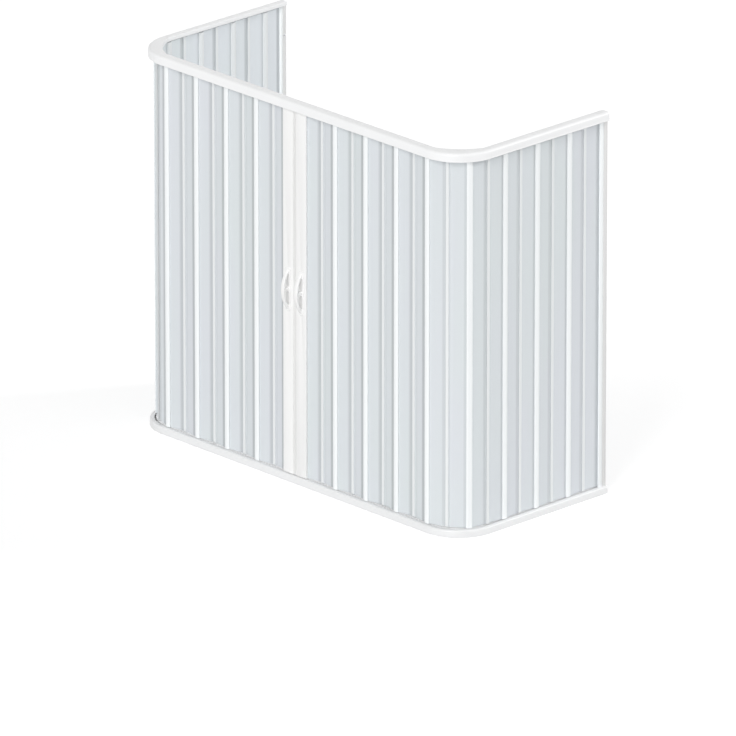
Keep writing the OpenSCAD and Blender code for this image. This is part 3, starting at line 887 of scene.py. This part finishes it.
def slat_outline(length, sizes, near, far, inner=0):
    """Slat section between two hinge axes, the face of each point, and its tone: painted shade and painted light
    by the bands, and painted light on the inner face.
    """
    half = sizes.slat / 2
    neck = math.degrees(math.asin(half / sizes.bead))
    step = sizes.rib_pitch / 4
    start = sizes.bead * math.cos(math.radians(neck))
    flat = [start + i * step for i in range(1, int((length - 2 * start) / step))]
    front = [(x, -half) for x in flat]
    back = [(x, half) for x in reversed(flat)]
    bead_near = arc((0, 0), sizes.bead, neck, 360 - neck, 20)
    bead_far = arc((length, 0), sizes.bead, neck - 180, 180 - neck, 20)
    outline = bead_near + front + bead_far + back
    faces = [0.0] * len(bead_near) + [-1.0] * len(front) + [0.0] * len(bead_far) + [1.0] * len(back)
    tones = [
        1 - edge_shade(x, near) - edge_shade(length - x, far) + sizes.painted_inner_light * (y * inner > 0)
        for x, y in outline]
    return outline, faces, tones


def strip_outline(half_pitch, sizes, knee):
    """Hinge strip section: a crowned cap on the -Y side, a neck and two open sockets."""
    bore, wall = sizes.socket_bore, sizes.socket_wall
    ring = bore + wall
    half_slat_angle = math.degrees(math.asin(sizes.slat / 2 / bore)) + 8
    mouth_low, mouth_high = 10 - half_slat_angle, 78 + half_slat_angle
    face, half_cap = -sizes.cap_to_axis, sizes.cap_width / 2
    cap_back = face + sizes.cap_thickness
    neck_top = bore + wall / 2
    centre = (half_pitch, 0)
    crown = [
        (half_cap * t, face + sizes.cap_crown * t * t) for t in (0, 0.15, 0.3, 0.45, 0.6, 0.72, 0.84, 0.93)
    ]
    edge_low = face + sizes.cap_crown
    edge_r = (cap_back - edge_low) / 2
    over = 180 - math.degrees(math.asin(neck_top / ring))
    half = crown + arc((half_cap - edge_r, edge_low + edge_r), edge_r, -80, 0, 4)
    half.append((half_cap - 0.0001, cap_back))
    half += lip(centre, bore, ring, mouth_low)
    half += arc(centre, bore, mouth_low - 8, mouth_high - 360 + 8, 26)
    half += lip(centre, bore, ring, mouth_high)[::-1]
    half += arc(centre, ring, mouth_high + 6, over, 3)
    outline = half + [(-x, y) for x, y in reversed(half) if x > 1e-6]
    # Painted shade: the part behind the cap, and all of a knee strip, are coloured darker.
    return outline, None, [1.0 if y < cap_back and not knee else sizes.knee_shade for _, y in outline]


def lip(centre, bore, ring, angle):
    """Rounded end of a socket wall, from its outside to its bore."""
    middle = (bore + ring) / 2
    half = (ring - bore) / 2
    radial = (math.cos(math.radians(angle)), math.sin(math.radians(angle)))
    inward = 1 if angle < 45 else -1
    along = (-radial[1] * inward, radial[0] * inward)
    points = []
    for step in range(1, 5):
        turn = math.radians(36 * step)
        out = middle + 0.98 * half * math.cos(turn)
        back = -0.35 * half * (1 - math.sin(turn))
        points.append((
            centre[0] + radial[0] * out + along[0] * back,
            centre[1] + radial[1] * out + along[1] * back))
    return points


def chain_of(side):
    """Hinges of one curtain from the corner to the post, as (body, place)."""
    return [
        (joint["child"], Vector(joint["pos_m"]))
        for joint in frame["joints"]
        if joint["child"].split("_")[1] == side
    ]


def links_of(side):
    """Each link of a curtain as its body, its two hinges and the kind of body it is."""
    chain = chain_of(side)
    return [
        (body, start, end, body.split("_")[0]) for (body, start), (_, end) in zip(chain, chain[1:])]


def heading_of(start, end):
    """Heading about the vertical of the line from start to end."""
    return math.atan2(end.y - start.y, end.x - start.x)


def stand_uprights(name, node, groups, material):
    """Stands sections up to the height of the curtain, as one piece that replaces a node.

    A group holds an outline, the faces and tones of its points, and the places and headings
    that it stands at; faces may be None where there are no flutes.
    """
    low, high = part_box(node)
    sizes = bpy.context.scene.enclosure_curtain
    piece = None
    for outline, faces, tones, places, headings in groups:
        shape = outline_object("section", outline, face=faces or [0.0] * len(outline), tone=tones)
        spots = points_object("places", [(p.x, p.y, 0) for p in places], headings)
        stood = run_tree(spots, tree_named("Uprights", uprights_tree), {
            "Section": shape,
            "Bottom": low.z,
            "Top": high.z,
            "Rib Pitch": sizes.rib_pitch,
            "Rib Depth": sizes.rib_depth if faces else 0.0,
            "Material": finish_named(material),
        }, name, helpers=(shape,))
        if piece:
            join_mesh(piece, stood)
        else:
            piece = stood
    tidy_mesh(piece)
    check_place(piece, node)
    attach(piece, node)
    return piece


def standing_slats(side):
    """First hinge axis, heading and length of each slat that stands still."""
    bead = bpy.context.scene.enclosure_curtain.bead
    found = []
    for points in islands(f"side_slats_{side}"):
        flat = points[:, :2]
        start = flat[np.argmax(((flat - flat.mean(0)) ** 2).sum(1))]
        end = flat[np.argmax(((flat - start) ** 2).sum(1))]
        start = flat[np.argmax(((flat - end) ** 2).sum(1))]
        if start @ PAINTED_SHADE_WAY < end @ PAINTED_SHADE_WAY:
            start, end = end, start
        way = (end - start) / np.linalg.norm(end - start)
        found.append((
            Vector((*(start + way * bead), 0)), math.atan2(way[1], way[0]),
            float(np.linalg.norm(end - start)) - 2 * bead))
    return found


def standing_strips(side):
    """Middle between the hinge axes, heading, and whether it is a knee, of each standing strip."""
    sizes = bpy.context.scene.enclosure_curtain
    found = []
    for points in islands(f"side_strips_{side}"):
        flat = points[:, :2]
        middle = flat.mean(0)
        _, axes = np.linalg.eigh(np.cov((flat - middle).T))
        along = axes[:, 1]
        across = np.array([-along[1], along[0]])
        offsets = flat - middle
        reach = offsets @ along
        centre_along = (reach.max() + reach.min()) / 2
        cap = np.abs(reach - centre_along) > sizes.cap_width / 2 - 0.0005
        if (offsets @ across)[cap].mean() > 0:
            along, across = -along, -across
            centre_along = -centre_along
        face = (offsets @ across).min()
        centre = middle + along * centre_along + across * (face + sizes.cap_to_axis)
        outward = OUTWARD[side] * across[0] - across[1]
        found.append((Vector((*centre, 0)), math.atan2(along[1], along[0]), outward > 0))
    return found


def in_left_bend(side, place):
    """Whether an upright stands in the first half of the left bend."""
    return side == "left" and place.y < FRONT_Y + 2 / 3 * CORNER_RADIUS


class ENCLOSURE_OT_slats(bpy.types.Operator):
    """Stand the fluted slats of both curtains, the corners and the sides."""

    bl_idname = "enclosure.slats"
    bl_label = "Slats"
    bl_options = {"REGISTER", "UNDO"}

    def execute(self, context):
        sizes = context.scene.enclosure_curtain
        for side in SIDES:
            for body, start, end, kind in links_of(side):
                if kind != "slat":
                    continue
                # Painted shade: a darker band at the slat's right-hand end; at its left-hand end a little painted
                # light beside an outer strip, or a faint painted shade beside a knee.
                right, left = (start, end) if start.x > end.x else (end, start)
                at_knee = right.y > left.y
                near = KNEE_BAND if at_knee else OUTER_BAND
                if body == "slat_left_8":
                    near = POST_BAND
                far = LIT_BAND if at_knee else FAINT_BAND
                section = slat_outline((end - start).length, sizes, near, far)
                stand_uprights(
                    f"{body}_fluted", body, [(*section, [right], [heading_of(right, left)])],
                    "slat plastic")
            knees = [place for place, _, knee in standing_strips(side) if knee]
            groups = []
            for place, heading, length in standing_slats(side):
                # Painted shade at each standing slat's near end, stronger on the left side away from the knees and
                # in the left bend; at its far end a little painted light, or painted shade in the left bend.
                by_knee = min((place - knee).length for knee in knees) < 0.012
                near = LEFT_BAND if side == "left" and not by_knee else SIDE_BAND
                far = LIT_BAND
                if in_left_bend(side, place):
                    near = BEND_KNEE_BAND if by_knee else BEND_BAND
                    far = LIT_BAND if by_knee else BEND_KNEE_BAND
                section = slat_outline(length, sizes, near, far, inner=-OUTWARD[side])
                groups.append((*section, [place], [heading]))
            stand_uprights(
                f"side_slats_{side}_fluted", f"side_slats_{side}", groups, "slat plastic")
        return {"FINISHED"}


class ENCLOSURE_OT_strips(bpy.types.Operator):
    """Stand the hinge strips between the slats."""

    bl_idname = "enclosure.strips"
    bl_label = "Hinge strips"
    bl_options = {"REGISTER", "UNDO"}

    def execute(self, context):
        sizes = context.scene.enclosure_curtain
        for side in SIDES:
            for body, start, end, kind in links_of(side):
                if kind == "slat":
                    continue
                node = body.replace(kind, f"{kind}_strip")
                first, second = (start, end) if start.x < end.x else (end, start)
                if kind == "knee":
                    first, second = second, first
                half_pitch = (end - start).length / 2
                section = strip_outline(half_pitch, sizes, kind == "knee")
                stand_uprights(
                    f"{node}_crowned", node,
                    [(*section, [(start + end) / 2], [heading_of(first, second)])],
                    "strip plastic")
            groups = []
            for place, heading, knee in standing_strips(side):
                outline, faces, tones = strip_outline(half_pitch, sizes, knee)
                # Painted shade: the knees in the first half of the left bend are darker still.
                if knee and in_left_bend(side, place):
                    tones = [sizes.bend_shade * tone for tone in tones]
                groups.append((outline, faces, tones, [place], [heading]))
            stand_uprights(
                f"side_strips_{side}_crowned", f"side_strips_{side}", groups,
                "strip plastic")
        return {"FINISHED"}


# Posts, seals and wall profiles

def seal_outline(low, high, groove):
    """Magnet seal section: a soft block with rounded corners and two grooves on each face."""
    width, depth = high.x - low.x, high.y - low.y
    corner = 0.0012
    outline = []
    corners = ((low.x + corner, low.y + corner, 180), (high.x - corner, low.y + corner, 270),
               (high.x - corner, high.y - corner, 0), (low.x + corner, high.y - corner, 90))
    for index, (x, y, start) in enumerate(corners):
        outline += arc((x, y), corner, start, start + 90, 4)
        if index % 2 == 0:
            face, inward = (low.y, 1) if index == 0 else (high.y, -1)
            spots = (0.3, 0.7) if index == 0 else (0.7, 0.3)
            travel = 1 if index == 0 else -1
            for spot in spots:
                middle = low.x + spot * width
                half = width * 0.07
                outline += [
                    (middle - travel * half, face),
                    (middle, face + inward * groove),
                    (middle + travel * half, face)]
        else:
            face, inward = (high.x, -1) if index == 1 else (low.x, 1)
            travel = 1 if index == 1 else -1
            middle = (low.y + high.y) / 2
            outline += [
                (face, middle - travel * depth * 0.12),
                (face + inward * groove * 0.5, middle),
                (face, middle + travel * depth * 0.12)]
    return outline


def post_flank(side, material):
    """Rounded flank from the post's face to its socket, as a mesh of its own."""
    low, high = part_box(f"closing_post_{side}")
    axis = chain_of(side)[-1][1]
    outward = OUTWARD[side]
    edge = abs(high.x if outward > 0 else low.x)
    hinge = abs(axis.x)
    radius = 0.0012
    outline = [(hinge - 0.001, low.y + 0.0005)]
    outline += arc((edge - radius, low.y + radius), radius, -90, 0, 5)
    outline += [(edge - 0.0002, axis.y - 0.0024), (edge - 0.0014, axis.y - 0.0020),
                (hinge + 0.0020, axis.y - 0.0032), (hinge - 0.001, axis.y - 0.0034)]
    shape = outline_object("section", [(outward * x, y) for x, y in outline])
    spots = points_object("places", [(0, 0, 0)], [0.0])
    flank = run_tree(spots, tree_named("Uprights", uprights_tree), {
        "Section": shape, "Bottom": low.z + 0.0003, "Top": high.z - 0.0003, "Rib Depth": 0.0,
        "Material": material}, "flank", helpers=(shape,))
    tidy_mesh(flank)
    return flank


class ENCLOSURE_OT_posts(bpy.types.Operator):
    """Finish the closing posts, their magnet seals and the profiles at the wall."""

    bl_idname = "enclosure.posts"
    bl_label = "Posts and wall profiles"
    bl_options = {"REGISTER", "UNDO"}

    def execute(self, context):
        sizes = context.scene.enclosure_posts
        plastic_finish = finish_named("post plastic")
        for side in SIDES:
            node = f"closing_post_{side}"
            post = dressed_copy(node, f"{node}_profile", plastic_finish, sizes.edge)
            join_mesh(post, post_flank(side, plastic_finish))
            seal = f"magnet_seal_{side}"
            outline = seal_outline(*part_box(seal), sizes.seal_lip)
            stand_uprights(
                f"{seal}_profile", seal, [(outline, None, [1.0] * len(outline), [Vector()], [0.0])],
                "seal plastic")
        for node, finish in (("wall_channels", "channel plastic"), ("wall_jambs", "jamb plastic")):
            dressed_copy(
                node, f"{node}_profile", finish_named(finish), sizes.edge / 2)
        return {"FINISHED"}


# Handles

def loft(shape, rings):
    """Skins a row of rings of points, and caps its ends."""
    rows = [[shape.verts.new(point) for point in ring] for ring in rings]
    for near, far in zip(rows, rows[1:]):
        band(shape, near, far)
    shape.faces.new(rows[0][::-1])
    shape.faces.new(rows[-1])


def rounded_ring(half_x, half_y, power=3.4, steps=28):
    """A ring between an ellipse and a rectangle."""
    ring = []
    for i in range(steps):
        turn = 2 * math.pi * i / steps
        c, s = math.cos(turn), math.sin(turn)
        ring.append((
            half_x * math.copysign(abs(c) ** (2 / power), c),
            half_y * math.copysign(abs(s) ** (2 / power), s)))
    return ring


def sink_slots(mesh, centre_x, centre_z, post_face, sizes):
    """Sinks a dish in the plate above and below the bridge, and paints shade into it through the tone attribute.
    """
    spots = points_of(mesh)
    x = np.abs(spots[:, 0] - centre_x)
    z = np.abs(spots[:, 2] - centre_z)
    out = post_face - spots[:, 1]
    middle = (sizes.slot_low + sizes.slot_high) / 2
    half = (sizes.slot_high - sizes.slot_low) / 2
    reach_x, reach_z = x / sizes.slot_half_width, np.abs(z - middle) / half
    away = (reach_x ** 4 + reach_z ** 4) ** 0.25
    inside = np.clip((1.08 - away) / 0.16, 0, 1) * (out > 0.4 * sizes.plate_thickness)
    inside *= out < sizes.plate_thickness + 0.0006
    spots[:, 1] += inside * sizes.slot_depth
    mesh.vertices.foreach_set("co", spots.ravel())
    tone = mesh.attributes.new("tone", "FLOAT", "POINT")
    tone.data.foreach_set("value", 1.0 - (1.0 - sizes.slot_shade) * inside)


def build_handle(node, sizes):
    """Bow, bridge and back plate of one handle, blended into one smooth moulding."""
    low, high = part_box(node)
    post_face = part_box(node.replace("handle", "closing_post"))[0].y
    reach = post_face - low.y
    centre_x, centre_z = (low.x + high.x) / 2, (low.z + high.z) / 2
    plate_half = (high.z - low.z) / 2
    bow_half = plate_half - sizes.end_inset
    radius = (bow_half ** 2 + reach ** 2) / (2 * reach)
    centre_line = radius - sizes.bow_thickness / 2
    span = math.degrees(math.acos((radius - reach) / centre_line)) + 1.0
    shape = bmesh.new()

    def place(x, out, z):
        return (centre_x + x, post_face - out, centre_z + z)

    rings = []
    steps = 48
    for i in range(steps + 1):
        turn = math.radians(span * (2 * i / steps - 1))
        swell = 1.0 + 0.10 * math.cos(turn * 90 / span * 2)
        rings.append([
            place(
                x * swell, (centre_line + y) * math.cos(turn) - (radius - reach),
                (centre_line + y) * math.sin(turn))
            for x, y in rounded_ring(sizes.bow_width / 2 / 1.1, sizes.bow_thickness / 2)])
    loft(shape, rings)
    bridge = rounded_ring(sizes.bow_width / 2 * 0.9, sizes.bridge_height / 2)
    loft(shape, [[place(x, out, z) for x, z in bridge] for out in (
        sizes.plate_thickness / 2, reach - sizes.bow_thickness / 2)])
    plate = []
    half_w = sizes.plate_width / 2
    straight = plate_half - half_w
    for share, out in ((1.0, 0.0), (1.0, 0.55), (0.93, 0.85), (0.80, 1.0)):
        ring = []
        for end in (1, -1):
            for x, z in arc((0, 0), half_w * share, 0 if end > 0 else 180, 180 if end > 0 else 360, 14):
                ring.append(place(x, sizes.plate_thickness * out, z + end * straight))
        plate.append(ring)
    loft(shape, plate)
    mesh = bpy.data.meshes.new(node)
    bmesh.ops.recalc_face_normals(shape, faces=shape.faces)
    shape.to_mesh(mesh)
    shape.free()
    piece = new_object(f"{node}_moulding", mesh)
    remesh = piece.modifiers.new("blend", "REMESH")
    remesh.mode = "VOXEL"
    remesh.voxel_size = sizes.voxel
    smooth = piece.modifiers.new("soften", "SMOOTH")
    smooth.factor = 0.5
    smooth.iterations = 6
    blended = baked(piece)
    piece.modifiers.clear()
    piece.data = blended
    sink_slots(piece.data, centre_x, centre_z, post_face, sizes)
    piece.data.shade_smooth()
    piece.data.materials.clear()
    piece.data.materials.append(finish_named("handle plastic"))
    attach(piece, node)
    return piece


class ENCLOSURE_OT_handles(bpy.types.Operator):
    """Mould the bow handles on the closing posts."""

    bl_idname = "enclosure.handles"
    bl_label = "Handles"
    bl_options = {"REGISTER", "UNDO"}

    def execute(self, context):
        for side in SIDES:
            build_handle(f"handle_{side}", context.scene.enclosure_handles)
        return {"FINISHED"}


# Runners and screws

def screw_mesh(sizes):
    """A pan head with a cross recess, its top towards -X and its seat at X = 0."""
    shape = bmesh.new()
    radius, height = sizes.head_radius, sizes.head_height
    profile = [(0, 0.0), (radius, 0.0), (radius, 0.35 * height)]
    profile += [
        (radius * math.cos(t), height * (0.35 + 0.65 * math.sin(t)))
        for t in (math.radians(a) for a in (20, 40, 60, 75))]
    profile.append((0, height))
    steps = 24
    rings = [
        [shape.verts.new((-out, r * math.cos(a), r * math.sin(a)))
         for a in (2 * math.pi * i / steps for i in range(steps))]
        for r, out in profile[1:-1]]
    for near, far in zip(rings, rings[1:]):
        band(shape, near, far)
    shape.faces.new(rings[0][::-1])
    top = rings[-1]
    arms, depth = 0.42 * radius, 0.55 * height
    recess = []
    for i in range(steps):
        a = 2 * math.pi * i / steps
        reach = arms if i % 6 == 0 else arms * 0.45
        recess.append((reach * math.cos(a), reach * math.sin(a)))
    rim = [shape.verts.new((-height, y, z)) for y, z in recess]
    floor = [shape.verts.new((-height + depth, y * 0.7, z * 0.7)) for y, z in recess]
    band(shape, top, rim)
    band(shape, rim, floor)
    shape.faces.new(floor)
    bmesh.ops.recalc_face_normals(shape, faces=shape.faces)
    mesh = bpy.data.meshes.new("screw")
    shape.to_mesh(mesh)
    shape.free()
    return mesh


class ENCLOSURE_OT_hardware(bpy.types.Operator):
    """Finish the runners and guide pins, and set the jamb screws."""

    bl_idname = "enclosure.hardware"
    bl_label = "Runners and screws"
    bl_options = {"REGISTER", "UNDO"}

    def execute(self, context):
        sizes = context.scene.enclosure_hardware
        nylon = finish_named("runner nylon")
        for node in sorted(frame["nodes"]):
            if "guides" in node:
                dressed_copy(node, f"{node}_moulding", nylon, sizes.edge)
        heads = []
        for points in islands("jamb_screws"):
            outward = math.copysign(1, points[:, 0].mean())
            face = outward * (np.abs(points[:, 0]).min() + sizes.head_height)
            heads.append((
                (face, (points[:, 1].max() + points[:, 1].min()) / 2,
                 (points[:, 2].max() + points[:, 2].min()) / 2),
                0.0 if outward > 0 else math.pi))
        part = new_object("screw", screw_mesh(sizes))
        spots = points_object(
            "places", [place for place, _ in heads], [heading for _, heading in heads])
        piece = run_tree(spots, tree_named("Repeated parts", repeated_parts_tree), {
            "Part": part,
            "Material": finish_named("screw steel"),
        }, "jamb_screws_heads", helpers=(part,))
        tidy_mesh(piece)
        attach(piece, "jamb_screws")
        return {"FINISHED"}


# Stage

def background_share(tree):
    """1 for the rays that should see a white background, 0 for the rays that light the object."""
    rays = add_node(tree, "ShaderNodeLightPath").outputs
    seen = math_node(tree, "MAXIMUM", rays["Is Camera Ray"], rays["Is Glossy Ray"])
    return math_node(tree, "MAXIMUM", seen, rays["Is Transmission Ray"])


def floor_material(sizes):
    """A pale floor that takes the object's shadow and is white to the camera elsewhere."""
    material, tree = new_material("floor")
    matt = add_node(tree, "ShaderNodeBsdfDiffuse", {"Color": (*sizes.floor_colour, 1)})
    glow = add_node(tree, "ShaderNodeEmission", {
        "Color": (1, 1, 1, 1),
        "Strength": math_node(tree, "MULTIPLY", background_share(tree), sizes.floor_glow),
    })
    both = add_node(tree, "ShaderNodeAddShader", {0: matt.outputs[0], 1: glow.outputs[0]})
    add_node(tree, "ShaderNodeOutputMaterial", {"Surface": both.outputs[0]})
    return material


class ENCLOSURE_OT_stage(bpy.types.Operator):
    """Lay the floor, hang the lamps and set up the camera."""

    bl_idname = "enclosure.stage"
    bl_label = "Stage"
    bl_options = {"REGISTER", "UNDO"}

    def execute(self, context):
        scene = context.scene
        sizes = scene.enclosure_stage
        shape = bmesh.new()
        bmesh.ops.create_circle(shape, cap_ends=True, radius=sizes.floor_radius, segments=96)
        mesh = bpy.data.meshes.new("floor")
        shape.to_mesh(mesh)
        shape.free()
        floor = new_object("floor", mesh)
        floor.data.materials.append(floor_material(sizes))

        world = bpy.data.worlds.new("studio")
        world.use_nodes = True
        tree = world.node_tree
        tree.nodes.clear()
        strength = add_node(tree, "ShaderNodeMapRange", {
            "Value": background_share(tree), "To Min": sizes.ambient, "To Max": 1.0})
        light = add_node(tree, "ShaderNodeBackground", {
            "Color": (1, 1, 1, 1), "Strength": strength.outputs[0]})
        add_node(tree, "ShaderNodeOutputWorld", {"Surface": light.outputs[0]})
        scene.world = world

        for place in ("front", "fill", "back"):
            lamp = bpy.data.lights.new(f"{place}_lamp", "SUN")
            lamp.use_shadow = place != "fill"
            lamp.energy = getattr(sizes, f"{place}_lamp")
            lamp.angle = getattr(sizes, f"{place}_spread")
            hung = bpy.data.objects.new(lamp.name, lamp)
            hung.rotation_mode = "QUATERNION"
            direction = Vector(getattr(sizes, f"{place}_direction"))
            hung.rotation_quaternion = direction.to_track_quat("Z", "Y")
            scene.collection.objects.link(hung)

        camera_data = bpy.data.cameras.new("camera")
        camera_data.lens = sizes.lens
        camera_data.sensor_width = 36
        camera_data.clip_start = 1
        camera_data.clip_end = 500
        camera = bpy.data.objects.new("camera", camera_data)
        a, e = sizes.azimuth, sizes.elevation
        back = Vector((math.sin(a) * math.cos(e), -math.cos(a) * math.cos(e), math.sin(e)))
        camera.location = Vector(sizes.target) + back * sizes.distance
        camera.rotation_mode = "QUATERNION"
        camera.rotation_quaternion = back.to_track_quat("Z", "Y")
        scene.collection.objects.link(camera)
        scene.camera = camera
        scene.view_settings.view_transform = "Standard"
        return {"FINISHED"}


class ENCLOSURE_PT_panel(bpy.types.Panel):
    """Lists the steps that build the enclosure, with their sizes and colours."""

    bl_idname = "ENCLOSURE_PT_panel"
    bl_label = "Bath enclosure"
    bl_space_type = "VIEW_3D"
    bl_region_type = "UI"
    bl_category = "Enclosure"

    def draw(self, context):
        for settings, operators in STEPS:
            box = self.layout.box()
            for operator in operators:
                box.operator(operator.bl_idname)
            group = getattr(context.scene, settings)
            for key in group.__annotations__:
                box.prop(group, key)


SETTINGS = {
    "enclosure_rails": RailSettings,
    "enclosure_curtain": CurtainSettings,
    "enclosure_posts": PostSettings,
    "enclosure_handles": HandleSettings,
    "enclosure_hardware": HardwareSettings,
    "enclosure_stage": StageSettings,
}
STEPS = (
    ("enclosure_rails", (ENCLOSURE_OT_rails,)),
    ("enclosure_curtain", (ENCLOSURE_OT_slats, ENCLOSURE_OT_strips)),
    ("enclosure_posts", (ENCLOSURE_OT_posts,)),
    ("enclosure_handles", (ENCLOSURE_OT_handles,)),
    ("enclosure_hardware", (ENCLOSURE_OT_hardware,)),
    ("enclosure_stage", (ENCLOSURE_OT_stage,)),
)
CLASSES = (
    *SETTINGS.values(),
    *(operator for _, operators in STEPS for operator in operators),
    ENCLOSURE_PT_panel,
)


def register():
    for item in CLASSES:
        bpy.utils.register_class(item)
    for name, group in SETTINGS.items():
        setattr(bpy.types.Scene, name, PointerProperty(type=group))


def unregister():
    for name in SETTINGS:
        delattr(bpy.types.Scene, name)
    for item in reversed(CLASSES):
        bpy.utils.unregister_class(item)


def main():
    """Builds every piece and the stage."""
    register()
    bpy.ops.enclosure.rails()
    bpy.ops.enclosure.slats()
    bpy.ops.enclosure.strips()
    bpy.ops.enclosure.posts()
    bpy.ops.enclosure.handles()
    bpy.ops.enclosure.hardware()
    bpy.ops.enclosure.stage()


if __name__ == "__main__":
    main()
